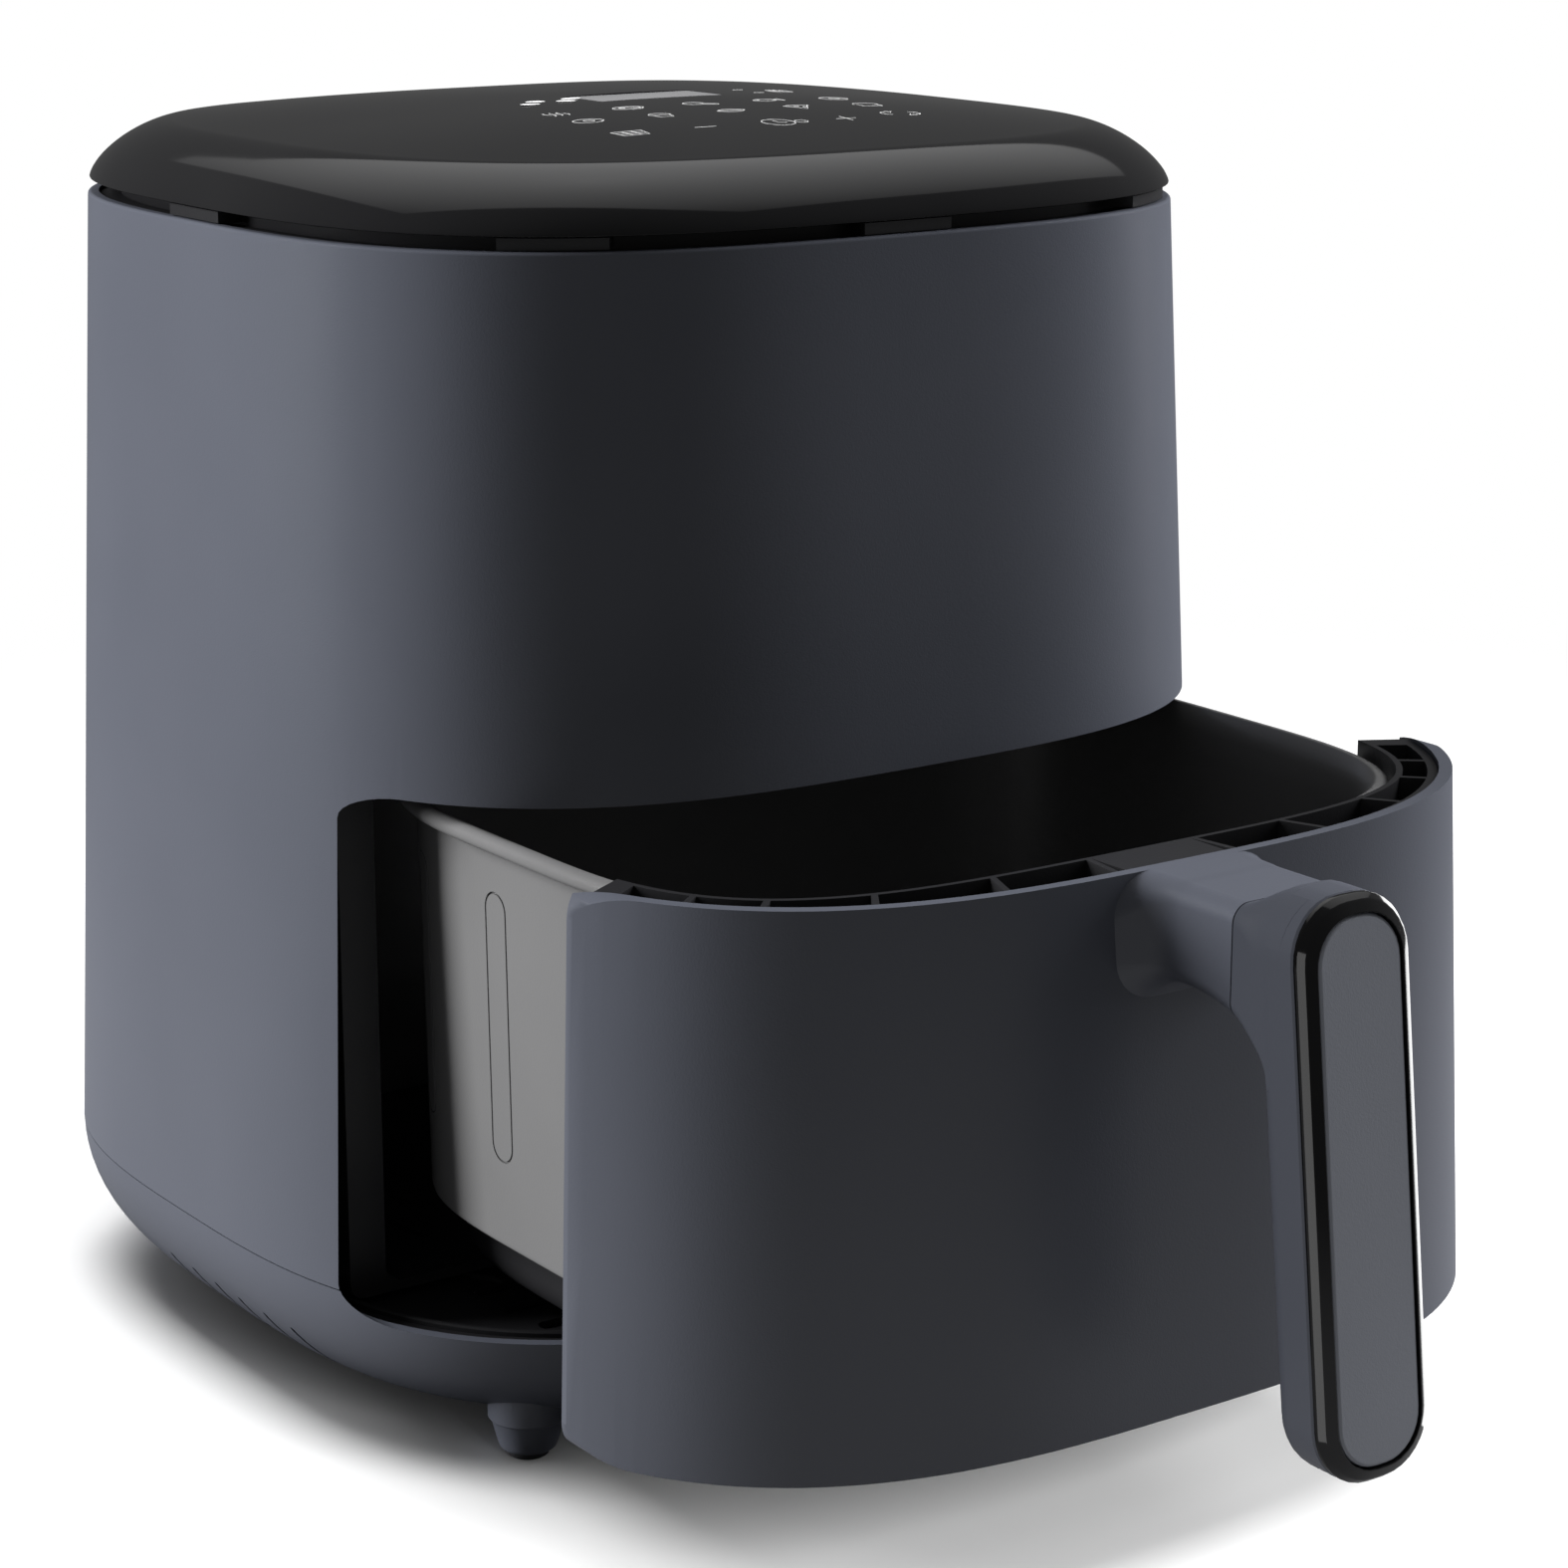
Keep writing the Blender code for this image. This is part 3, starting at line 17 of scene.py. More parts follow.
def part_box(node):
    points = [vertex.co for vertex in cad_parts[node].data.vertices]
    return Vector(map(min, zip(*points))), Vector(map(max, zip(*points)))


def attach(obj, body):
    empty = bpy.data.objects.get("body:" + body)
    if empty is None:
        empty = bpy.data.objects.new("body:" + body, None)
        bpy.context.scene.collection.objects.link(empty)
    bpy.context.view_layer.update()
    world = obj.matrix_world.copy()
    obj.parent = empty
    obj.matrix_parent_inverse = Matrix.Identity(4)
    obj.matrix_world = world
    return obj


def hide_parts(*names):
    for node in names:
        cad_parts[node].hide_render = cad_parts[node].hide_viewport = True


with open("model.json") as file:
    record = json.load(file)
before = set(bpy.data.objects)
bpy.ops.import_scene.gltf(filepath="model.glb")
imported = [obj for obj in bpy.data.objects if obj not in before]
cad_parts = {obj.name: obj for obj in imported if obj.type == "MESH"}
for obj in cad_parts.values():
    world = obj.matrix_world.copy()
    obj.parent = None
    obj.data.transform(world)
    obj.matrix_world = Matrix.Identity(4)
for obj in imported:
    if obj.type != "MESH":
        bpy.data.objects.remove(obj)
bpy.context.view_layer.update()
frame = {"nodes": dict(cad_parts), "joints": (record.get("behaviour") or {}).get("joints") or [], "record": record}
nodes = frame["nodes"]

# %% [markdown]
# ## The body's plan
#
# Seen from above, the housing is a superellipse: a rounded square whose sides never go
# quite flat. It grows evenly towards the bottom. The lid gives its size at the rim, the
# shell gives it at the seam above the base, and a straight line joins the two. The drawer
# front is a slice of the same wall, so one function serves both.

# %% The plan outline, measured from the frame
GAP = 0.0003
WALL = 0.0026
PLAN_EXPONENT = 3.05
LID_OVERLAP = 0.9965

shell_low, shell_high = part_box("outer_shell")
lid_low, lid_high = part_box("lid_cover")
pads = [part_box(f"foot_pad_{end}_{side}") for end in ("front", "rear") for side in ("left", "right")]
centre_y = sum((low.y + high.y) / 2 for low, high in pads) / len(pads)
rim_z, seam_z = shell_high.z, shell_low.z - GAP
half_width = lid_high.x / LID_OVERLAP
half_front = (centre_y - lid_low.y) / LID_OVERLAP
half_rear = (lid_high.y - centre_y) / LID_OVERLAP
flare = (shell_high.x / half_width - 1) / (rim_z - shell_low.z)
print(f"middle {centre_y:.4f}, half width {half_width:.4f}, flare {flare:.3f} per metre")


def plan(z, inset=0.0, scale=1.0, at=None):
    """(half width, front, rear, height) of the housing's outline, drawn in by an inset."""
    k = (1 + flare * (rim_z - (z if at is None else at))) * scale
    return (half_width * k - inset, half_front * k - inset, half_rear * k - inset, z)


# %% [markdown]
# ## The drawer's travel
#
# At rest the drawer stands part way out. The joint's lower limit is how far it has to go
# back to be shut, so the middle of every drawer piece is that much nearer the user.

# %% Where the drawer stands
slide = next(joint for joint in frame["joints"] if joint["name"] == "drawer_slide")
drawer_y = centre_y + slide["range_m"][0]
pot_low, pot_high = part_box("pot")
pot_y = (pot_low.y + pot_high.y) / 2
print(f"drawer pieces stand about y = {drawer_y:.4f}, the pot about y = {pot_y:.4f}")

# %% [markdown]
# ## The camera
#
# A product picture is taken from a little above and to one side, with a long lens that
# keeps upright lines nearly parallel. The camera comes early, because every later step is
# judged through it.

# %% Camera
CAMERA_LEFT = 0.5713
CAMERA_BEFORE = 0.8829
CAMERA_HEIGHT = 0.4128
LOOKS_DOWN = 14.49
TURNED_RIGHT = 35.18
LENS_MM = 90.206
SENSOR_MM = 36.0

bpy.ops.object.camera_add(location=(-CAMERA_LEFT, centre_y - CAMERA_BEFORE, CAMERA_HEIGHT))
camera = bpy.context.object
camera.name = "studio_camera"
camera.rotation_euler = (math.radians(90 - LOOKS_DOWN), 0.0, math.radians(-TURNED_RIGHT))
camera.data.lens = LENS_MM
camera.data.sensor_width = SENSOR_MM
bpy.context.scene.camera = camera
print("camera", round((camera.location - Vector((0, 0, 0.16))).length, 3), "m from the middle")

# %% [markdown]
# ## Tools of the bench
#
# Modelling by hand is a few moves made many times: add a simple shape, select some faces
# or edges, and extrude, scale or bevel them. These helpers make those moves from code.
# Everything is deselected first, because an operator acts on all that is selected.

# %% Select and edit
def only(piece):
    """Selects one piece and makes it the active one."""
    bpy.ops.object.select_all(action="DESELECT")
    piece.select_set(True)
    bpy.context.view_layer.objects.active = piece


def open_mesh(piece):
    """Goes into edit mode on one piece, with nothing selected."""
    only(piece)
    bpy.ops.object.mode_set(mode="EDIT")
    bpy.ops.mesh.select_mode(type="EDGE")
    bpy.ops.mesh.select_all(action="DESELECT")


def close_mesh():
    bpy.ops.object.mode_set(mode="OBJECT")


def pick(piece, kind, test):
    """Selects the vertices, edges or faces of an open mesh that pass a test."""
    shape = bmesh.from_edit_mesh(piece.data)
    bpy.ops.mesh.select_mode(type={"verts": "VERT", "edges": "EDGE", "faces": "FACE"}[kind])
    bpy.ops.mesh.select_all(action="DESELECT")
    chosen = [item for item in getattr(shape, kind) if test(item)]
    for item in chosen:
        item.select_set(True)
    shape.select_flush_mode()
    bmesh.update_edit_mesh(piece.data)


def named(piece, name):
    piece.name = piece.data.name = name
    return piece


# %% [markdown]
# ## Shapes swept up from one outline
#
# Shell, base, lid, pot and feet are all one closed outline that rises and changes size.
# By hand this is a circle whose points are slid onto the outline once, then extruded ring
# by ring with a scale after each step. A hollow wall ends by bridging the last ring to the
# first, and a solid ends by filling both openings.

# %% Sweep an outline through rings
OUTLINE_POINTS = 160


def swept(name, rings, middle=(0.0, 0.0), exponent=2.0, points=OUTLINE_POINTS, hollow=False):
    """Extrudes an outline through rings of (half width, front, rear, height)."""
    bpy.ops.object.select_all(action="DESELECT")
    bpy.ops.mesh.primitive_circle_add(vertices=points, radius=1.0)
    piece = named(bpy.context.object, name)
    width, front, rear, height = rings[0]
    for vertex in piece.data.vertices:
        c, s = vertex.co.x, vertex.co.y
        x = math.copysign(abs(c) ** (2 / exponent), c) * width
        y = math.copysign(abs(s) ** (2 / exponent), s) * (rear if s > 0 else front)
        vertex.co = (middle[0] + x, middle[1] + y, height)
    open_mesh(piece)
    bpy.ops.mesh.select_all(action="SELECT")
    for now, then in zip(rings, rings[1:]):
        bpy.ops.mesh.extrude_edges_move(TRANSFORM_OT_translate={"value": (0, 0, then[3] - now[3])})
        wide = then[0] / now[0]
        deep = (then[1] + then[2]) / (now[1] + now[2])
        still = middle[1]
        if abs(deep - 1) > 1e-6:
            still += (deep * now[1] - then[1]) / (1 - deep)
        bpy.ops.transform.resize(value=(wide, deep, 1), center_override=(middle[0], still, then[3]))
    bpy.ops.mesh.select_all(action="DESELECT")
    bpy.ops.mesh.select_non_manifold()
    if hollow:
        bpy.ops.mesh.bridge_edge_loops()
    else:
        bpy.ops.mesh.fill_holes(sides=0)
    bpy.ops.mesh.select_all(action="SELECT")
    bpy.ops.mesh.normals_make_consistent(inside=False)
    close_mesh()
    return piece


def turned(name, profile, x, y, points=64, hollow=False):
    """A piece turned about an upright line, from (radius, height) pairs."""
    rings = [(radius, radius, radius, z) for radius, z in profile]
    return swept(name, rings, (x, y), 2.0, points, hollow)


# %% [markdown]
# ## Blocks, cuts and soft edges
#
# Openings, slots and the handle start as a block. A Boolean takes one shape from another
# or joins the two, and its exact solver keeps thin walls closed. Real mouldings have no
# sharp edge, so a narrow bevel on every hard corner catches the light in a fine line.

# %% Block, round, carve
def block(name, low, high):
    """A box from its lowest to its highest corner, with its place in its mesh."""
    middle = [(a + b) / 2 for a, b in zip(low, high)]
    bpy.ops.object.select_all(action="DESELECT")
    bpy.ops.mesh.primitive_cube_add(size=1.0, location=middle)
    piece = named(bpy.context.object, name)
    piece.scale = [b - a for a, b in zip(low, high)]
    bpy.ops.object.transform_apply(location=True, rotation=True, scale=True)
    return piece


def runs_along(edge, axis):
    """Whether an edge runs along an axis, give or take a lean."""
    along = (edge.verts[1].co - edge.verts[0].co).normalized()
    return abs(along[axis]) > 0.95


def round_edges(piece, test, width, segments=6):
    """Bevels the edges that pass a test."""
    open_mesh(piece)
    pick(piece, "edges", test)
    bpy.ops.mesh.bevel(offset=width, segments=segments, affect="EDGES")
    close_mesh()


def carve(piece, *tools, operation="DIFFERENCE"):
    """Cuts the tools from a piece, or joins them to it, and uses them up."""
    for tool in tools:
        step = piece.modifiers.new("carve", "BOOLEAN")
        step.operation = operation
        step.solver = "EXACT"
        step.object = tool
        only(piece)
        bpy.ops.object.modifier_apply(modifier=step.name)
        bpy.data.objects.remove(tool, do_unlink=True)
    return piece


def joined(name, pieces):
    """Several pieces as one mesh of separate bodies."""
    only(pieces[0])
    for piece in pieces:
        piece.select_set(True)
    if len(pieces) > 1:
        bpy.ops.object.join()
    return named(bpy.context.object, name)


def copied(piece, name, move=(0.0, 0.0, 0.0)):
    """A copy with its own mesh, moved in the mesh itself."""
    twin = bpy.data.objects.new(name, piece.data.copy())
    bpy.context.scene.collection.objects.link(twin)
    twin.data.transform(Matrix.Translation(move))
    return named(twin, name)


# %% [markdown]
# ## Finishing a piece
#
# Every piece ends the same way: a fine bevel on its hard corners, smooth shading below a
# set angle, its finish, and the body that it rides on. Normals are weighted by area, so
# that a large face stays even right up to a cut. The piece then stands in for the plain
# nodes that it was modelled over.

# %% Finish a piece
def finish(piece, body, material, slot, *stands_for, edge=0.0, angle=35):
    if edge:
        soften = piece.modifiers.new("soften", "BEVEL")
        soften.width = edge
        soften.segments = 2
        soften.limit_method = "ANGLE"
        soften.angle_limit = math.radians(50)
        only(piece)
        bpy.ops.object.modifier_apply(modifier=soften.name)
    only(piece)
    bpy.ops.object.shade_smooth_by_angle(angle=math.radians(angle))
    even = piece.modifiers.new("even", "WEIGHTED_NORMAL")
    even.keep_sharp = True
    bpy.ops.object.modifier_apply(modifier=even.name)
    piece.data.materials.clear()
    piece.data.materials.append(material)
    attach(piece, body)
    if stands_for:
        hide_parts(*stands_for)
    print(f"{piece.name}: {len(piece.data.polygons)} faces on {body}")
    return piece


# %% [markdown]
# # Finishes
#
# A finish is more than its colour. Moulded plastic carries the fine grain of its tool,
# a coated pot has a pebbled skin, and steel has lines from rolling. Each such effect is a
# node group that is built once and gives out only masks and heights. The shader stays in
# the material, where plain numbers sit on its own sockets.

# %% Build a node group
def effect(name, inputs, outputs):
    """An empty shader group with named number sockets, and its two ends."""
    group = bpy.data.node_groups.new(name, "ShaderNodeTree")
    for label, value in inputs:
        socket = group.interface.new_socket(name=label, in_out="INPUT", socket_type="NodeSocketFloat")
        socket.default_value = value
    for label in outputs:
        group.interface.new_socket(name=label, in_out="OUTPUT", socket_type="NodeSocketFloat")
    start = group.nodes.new("NodeGroupInput")
    end = group.nodes.new("NodeGroupOutput")
    return group, start, end


def add(tree, kind, **settings):
    """Adds a node, and sets its properties or the numbers on its inputs."""
    node = tree.nodes.new(kind)
    for key, value in settings.items():
        if hasattr(node, key):
            setattr(node, key, value)
        else:
            node.inputs[key.replace("_", " ").title()].default_value = value
    return node


def maths(tree, operation, first, second):
    """A Math node. Each side is a number or a socket."""
    node = tree.nodes.new("ShaderNodeMath")
    node.operation = operation
    for index, side in enumerate((first, second)):
        if isinstance(side, (int, float)):
            node.inputs[index].default_value = side
        else:
            tree.links.new(side, node.inputs[index])
    return node.outputs[0]


# %% [markdown]
# ## Moulded grain
#
# The steel tool for a satin moulding is etched, and the plastic copies its tiny pits. Two
# noises of different size give a height, and the coarser one also gives a faint mask that
# lets the sheen wander a little, as it does where hands have been.

# %% Grain group
grain, start, end = effect("moulded_grain", [("Scale", 900.0)], ["Height", "Cloud"])
place = add(grain, "ShaderNodeTexCoord")
fine = add(grain, "ShaderNodeTexNoise", detail=2.0, roughness=0.6)
grain.links.new(place.outputs["Object"], fine.inputs["Vector"])
grain.links.new(start.outputs["Scale"], fine.inputs["Scale"])
pits = add(grain, "ShaderNodeTexVoronoi")
grain.links.new(place.outputs["Object"], pits.inputs["Vector"])
grain.links.new(maths(grain, "MULTIPLY", start.outputs["Scale"], 1.7), pits.inputs["Scale"])
cloud = add(grain, "ShaderNodeTexNoise", scale=9.0, detail=3.0, roughness=0.55)
grain.links.new(place.outputs["Object"], cloud.inputs["Vector"])
height = maths(grain, "ADD", fine.outputs["Fac"],
               maths(grain, "MULTIPLY", pits.outputs["Distance"], 0.5))
grain.links.new(height, end.inputs["Height"])
grain.links.new(cloud.outputs["Fac"], end.inputs["Cloud"])
print("moulded_grain:", len(grain.nodes), "nodes")

# %% [markdown]
# ## Rolled lines
#
# Sheet and turned steel show lines that run one way. A noise stretched along one axis
# makes them: squeezed in two directions and long in the third.

# %% Rolled lines group
rolled, start, end = effect("rolled_lines", [("Scale", 700.0)], ["Lines", "Cloud"])
place = add(rolled, "ShaderNodeTexCoord")
stretch = add(rolled, "ShaderNodeMapping")
stretch.inputs["Scale"].default_value = (0.03, 1.0, 1.0)
rolled.links.new(place.outputs["Object"], stretch.inputs["Vector"])
lines = add(rolled, "ShaderNodeTexNoise", detail=3.0, roughness=0.65)
rolled.links.new(stretch.outputs["Vector"], lines.inputs["Vector"])
rolled.links.new(start.outputs["Scale"], lines.inputs["Scale"])
cloud = add(rolled, "ShaderNodeTexNoise", scale=14.0, detail=4.0, roughness=0.6)
rolled.links.new(place.outputs["Object"], cloud.inputs["Vector"])
rolled.links.new(lines.outputs["Fac"], end.inputs["Lines"])
rolled.links.new(cloud.outputs["Fac"], end.inputs["Cloud"])
print("rolled_lines:", len(rolled.nodes), "nodes")

# %% [markdown]
# ## Putting a finish together
#
# The same wiring serves most finishes: a cloud mask moves the colour between two close
# tones and the roughness between two close values, and a height goes to a bump. Only the
# numbers differ from finish to finish.

# %% Wire a finish
def spread(tree, mask, low, high):
    """A mask stretched to run from one value to another."""
    node = tree.nodes.new("ShaderNodeMapRange")
    node.inputs["From Min"].default_value = 0.3
    node.inputs["From Max"].default_value = 0.7
    node.inputs["To Min"].default_value = low
    node.inputs["To Max"].default_value = high
    tree.links.new(mask, node.inputs["Value"])
    return node.outputs["Result"]


def finish_of(name, group, tones, roughness, scale, depth, metallic=0.0, **sockets):
    """A finish from an effect group: two tones, a range of roughness and a bump depth."""
    material = bpy.data.materials.new(name)
    material.use_nodes = True
    tree = material.node_tree
    shader = tree.nodes["Principled BSDF"]
    shader.inputs["Metallic"].default_value = metallic
    for socket, value in sockets.items():
        shader.inputs[socket.replace("_", " ").title()].default_value = value
    surface = tree.nodes.new("ShaderNodeGroup")
    surface.node_tree = group
    surface.inputs["Scale"].default_value = scale
    relief, cloud = surface.outputs[0], surface.outputs["Cloud"]
    tone = tree.nodes.new("ShaderNodeMix")
    tone.data_type = "RGBA"
    tone.inputs["A"].default_value = (*tones[0], 1.0)
    tone.inputs["B"].default_value = (*tones[1], 1.0)
    tree.links.new(spread(tree, cloud, 0.0, 1.0), tone.inputs["Factor"])
    tree.links.new(tone.outputs["Result"], shader.inputs["Base Color"])
    tree.links.new(spread(tree, cloud, *roughness), shader.inputs["Roughness"])
    bump = tree.nodes.new("ShaderNodeBump")
    bump.inputs["Strength"].default_value = 1.0
    bump.inputs["Distance"].default_value = depth
    tree.links.new(relief, bump.inputs["Height"])
    tree.links.new(bump.outputs["Normal"], shader.inputs["Normal"])
    return material


# %% [markdown]
# ## The finishes themselves
#
# The housing is a satin slate blue that turns lighter where a soft box grazes it. The
# handle's insert is a lighter tone of it. The lid and the handle's frame are polished
# black. The inside of the opening, the band under the lid and the frame behind the drawer
# front are the same black plastic with a coarser grain. Parts nobody sees are finished too:
# the model opens up, and a buyer looks inside.

# %% Make the finishes
SKIRT_BOTTOM = 0.0635
slate = finish_of("slate_plastic", grain, ((0.050, 0.054, 0.067), (0.056, 0.060, 0.074)),
                  (0.36, 0.42), 1500.0, 0.00002)
insert_slate = finish_of("handle_slate", grain, ((0.195, 0.206, 0.236), (0.208, 0.219, 0.250)),
                         (0.38, 0.44), 1500.0, 0.00002)
gloss = finish_of("gloss_black", grain, ((0.006, 0.006, 0.0065), (0.008, 0.008, 0.0085)),
                  (0.055, 0.085), 60.0, 0.000002)
gloss.node_tree.nodes["Principled BSDF"].inputs["IOR"].default_value = 1.40
black = finish_of("black_plastic", grain, ((0.010, 0.010, 0.011), (0.014, 0.014, 0.015)),
                  (0.40, 0.50), 1100.0, 0.00003)
pot_skin = finish_of("pot_coating", grain, ((0.096, 0.096, 0.097), (0.110, 0.110, 0.111)),
                     (0.30, 0.37), 1300.0, 0.00002, metallic=0.1)

# Painted shade: below the skirt the coating is painted near-black, standing in for the shade under the skirt, so
# the tone changes with height.
tree = pot_skin.node_tree
shader = tree.nodes["Principled BSDF"]
above = tree.nodes.new("ShaderNodeSeparateXYZ")
tree.links.new(add(tree, "ShaderNodeTexCoord").outputs["Object"], above.inputs["Vector"])
shade_under_skirt = tree.nodes.new("ShaderNodeMapRange")
shade_under_skirt.inputs["From Min"].default_value = SKIRT_BOTTOM
shade_under_skirt.inputs["From Max"].default_value = SKIRT_BOTTOM + 0.0008
tree.links.new(above.outputs["Z"], shade_under_skirt.inputs["Value"])
# The near-black tone below is the painted shade under the skirt; the mask switches to it below SKIRT_BOTTOM.
tone = tree.nodes.new("ShaderNodeMix")
tone.data_type = "RGBA"
tone.inputs["A"].default_value = (0.012, 0.012, 0.013, 1.0)
tree.links.new(shader.inputs["Base Color"].links[0].from_socket, tone.inputs["B"])
tree.links.new(shade_under_skirt.outputs["Result"], tone.inputs["Factor"])
tree.links.new(tone.outputs["Result"], shader.inputs["Base Color"])

lens_glass = finish_of("display_glass", grain, ((0.22, 0.22, 0.225), (0.235, 0.235, 0.24)),
                       (0.16, 0.20), 80.0, 0.000002)
rubber = finish_of("rubber_black", grain, ((0.012, 0.012, 0.013), (0.018, 0.018, 0.019)),
                   (0.72, 0.84), 700.0, 0.00006)
steel = finish_of("bright_steel", rolled, ((0.50, 0.50, 0.51), (0.60, 0.60, 0.61)),
                  (0.28, 0.42), 900.0, 0.00001, metallic=1.0)
heater_steel = finish_of("heater_steel", rolled, ((0.10, 0.085, 0.08), (0.20, 0.17, 0.15)),
                         (0.38, 0.55), 500.0, 0.00002, metallic=1.0)
nickel = finish_of("magnet_nickel", rolled, ((0.58, 0.57, 0.55), (0.66, 0.65, 0.63)),
                   (0.18, 0.28), 900.0, 0.000005, metallic=1.0)
sleeve = finish_of("wire_insulation", rolled, ((0.44, 0.42, 0.36), (0.56, 0.54, 0.47)),
                   (0.55, 0.70), 1500.0, 0.00005)
ink = finish_of("panel_ink", grain, ((0.60, 0.60, 0.60), (0.68, 0.68, 0.68)),
                (0.40, 0.50), 900.0, 0.000005)
print(len(bpy.data.materials), "materials so far")

# %% [markdown]
# ## Circuit board
#
# A board is green lacquer over copper tracks. A brick pattern gives the even steps of
# tracks, and a small noise breaks them up.

# %% Board finish
board = bpy.data.materials.new("board_green")
board.use_nodes = True
tree = board.node_tree
shader = tree.nodes["Principled BSDF"]
shader.inputs["Roughness"].default_value = 0.38
place = add(tree, "ShaderNodeTexCoord")
tracks = add(tree, "ShaderNodeTexBrick", scale=90.0)
tracks.inputs["Color1"].default_value = (0.020, 0.105, 0.045, 1.0)
tracks.inputs["Color2"].default_value = (0.026, 0.130, 0.058, 1.0)
tracks.inputs["Mortar"].default_value = (0.055, 0.190, 0.080, 1.0)
tracks.inputs["Mortar Size"].default_value = 0.03
tree.links.new(place.outputs["Object"], tracks.inputs["Vector"])
tree.links.new(tracks.outputs["Color"], shader.inputs["Base Color"])
raised = add(tree, "ShaderNodeBump", distance=0.00004)
tree.links.new(tracks.outputs["Fac"], raised.inputs["Height"])
tree.links.new(raised.outputs["Normal"], shader.inputs["Normal"])
print("board_green:", len(tree.nodes), "nodes")

# %% [markdown]
# ## Finishes for the pieces that stay
#
# Many nodes are already the right shape, above all those inside the housing. They keep
# their meshes and take the finish that the record names for them.

# %% Dress the nodes
by_slot = {
    "slate_plastic": slate, "gloss_black": gloss, "black_plastic": black,
    "pot_coating": pot_skin, "display_glass": lens_glass, "rubber_black": rubber,
    "bright_steel": steel, "heater_steel": heater_steel, "board_green": board,
    "wire_insulation": sleeve, "magnet_nickel": nickel,
}
for part in frame["record"]["subparts"]:
    node = nodes[part["node"]]
    node.data.materials.clear()
    node.data.materials.append(by_slot[part["material_slot"]])

# %% [markdown]
# # The housing
#
# ## The drawer opening
#
# The opening is one tool used three times: it cuts the shell and the base, and a slightly
# smaller copy trims the drawer front. It is a long block whose sides lean with the wall,
# with a slightly larger radius at its two bottom corners than at its top ones.

# %% The opening as a tool
OPENING_HALF_WIDTH = 0.1235
OPENING_CLEARANCE = 0.0008
OPENING_CORNER = 0.008
OPENING_TOP_CORNER = 0.0072

panel_low, panel_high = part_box("drawer_front")
opening_bottom = panel_low.z - OPENING_CLEARANCE
opening_top = panel_high.z + OPENING_CLEARANCE


def opening_tool(name, clearance, middle_y):
    low, high = opening_bottom + clearance, opening_top - clearance
    growth = [1 + flare * (rim_z - z) for z in (low, high)]
    wide = OPENING_HALF_WIDTH * growth[0] - clearance
    narrow = OPENING_HALF_WIDTH * growth[1] - clearance
    tool = block(name, (-wide, middle_y - 0.30, low), (wide, middle_y - 0.03, high))
    open_mesh(tool)
    pick(tool, "verts", lambda v: v.co.z > high - 0.001)
    bpy.ops.transform.resize(value=(narrow / wide, 1, 1), center_override=(0, middle_y, high))
    close_mesh()
    middle = (low + high) / 2
    round_edges(tool, lambda e: runs_along(e, 1) and e.verts[0].co.z < middle,
                OPENING_CORNER - clearance, 10)
    round_edges(tool, lambda e: runs_along(e, 1) and min(v.co.z for v in e.verts) > high - 0.0005
                and abs(e.verts[0].co.x) > narrow * 0.99, OPENING_TOP_CORNER, 8)
    return tool


print(f"opening from z = {opening_bottom:.4f} to {opening_top:.4f}")

# %% [markdown]
# ## The outer shell
#
# A band of satin plastic with a thin wall, open at the top and the bottom. Its top edge is
# turned over in a small radius, which draws the fine light line under the lid.

# %% Outer shell
RIM_RADIUS = 0.0009

rings = [plan(shell_low.z), plan(0.12), plan(0.20), plan(rim_z - RIM_RADIUS)]
for step in range(1, 5):
    turn = math.pi / 2 * step / 4
    rings.append(plan(rim_z - RIM_RADIUS * (1 - math.sin(turn)), RIM_RADIUS * (1 - math.cos(turn))))
rings += [plan(rim_z, WALL), plan(shell_low.z, WALL)]
shell = swept("housing_shell", rings, (0.0, centre_y), PLAN_EXPONENT, hollow=True)
carve(shell, opening_tool("opening", 0.0, centre_y))

grille_low, grille_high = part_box("rear_grille")
rear_window = block("rear_window", (grille_low.x - GAP, centre_y + 0.08, grille_low.z - GAP),
                    (grille_high.x + GAP, centre_y + 0.30, grille_high.z + GAP))
round_edges(rear_window, lambda e: runs_along(e, 1), 0.004, 6)
carve(shell, rear_window)

gland_low, gland_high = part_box("cord_gland")
gland_z = (gland_low.z + gland_high.z) / 2
GLAND_NECK = 0.0085
gland_hole = turned("gland_hole", [(GLAND_NECK + GAP, -0.05), (GLAND_NECK + GAP, 0.05)], 0.0, 0.0)
gland_hole.data.transform(Matrix.Translation((0, centre_y + 0.13,
                                              gland_z)) @ Matrix.Rotation(math.pi / 2, 4, "X"))
carve(shell, gland_hole)
finish(shell, "housing", slate, "slate_plastic", "outer_shell", edge=0.0004)

# %% [markdown]
# ## The base
#
# The base closes the housing from below. Its wall rolls under in a wide curve, the four
# legs are moulded on, and slanted air slots pierce the roll on both sides. The profile is
# a quarter of an ellipse, run once inside and once outside.

# %% Base, rounded under
BASE_ROUNDING = 0.0330
UNDERSIDE_Z = 0.0103
FOOT_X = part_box("foot_pad_front_right")[0].x / 2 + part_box("foot_pad_front_right")[1].x / 2
foot_reach = (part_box("foot_pad_rear_right")[0].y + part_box("foot_pad_rear_right")[1].y) / 2 - centre_y


def base_rings(inset, steps):
    rings = []
    for step in range(steps + 1):
        turn = math.pi / 2 * step / steps
        drop = (seam_z - UNDERSIDE_Z - inset) * math.sin(turn)
        draw_in = inset + (BASE_ROUNDING - inset / 2) * (1 - math.cos(turn))
        rings.append(plan(seam_z - drop, draw_in, at=seam_z))
    return rings


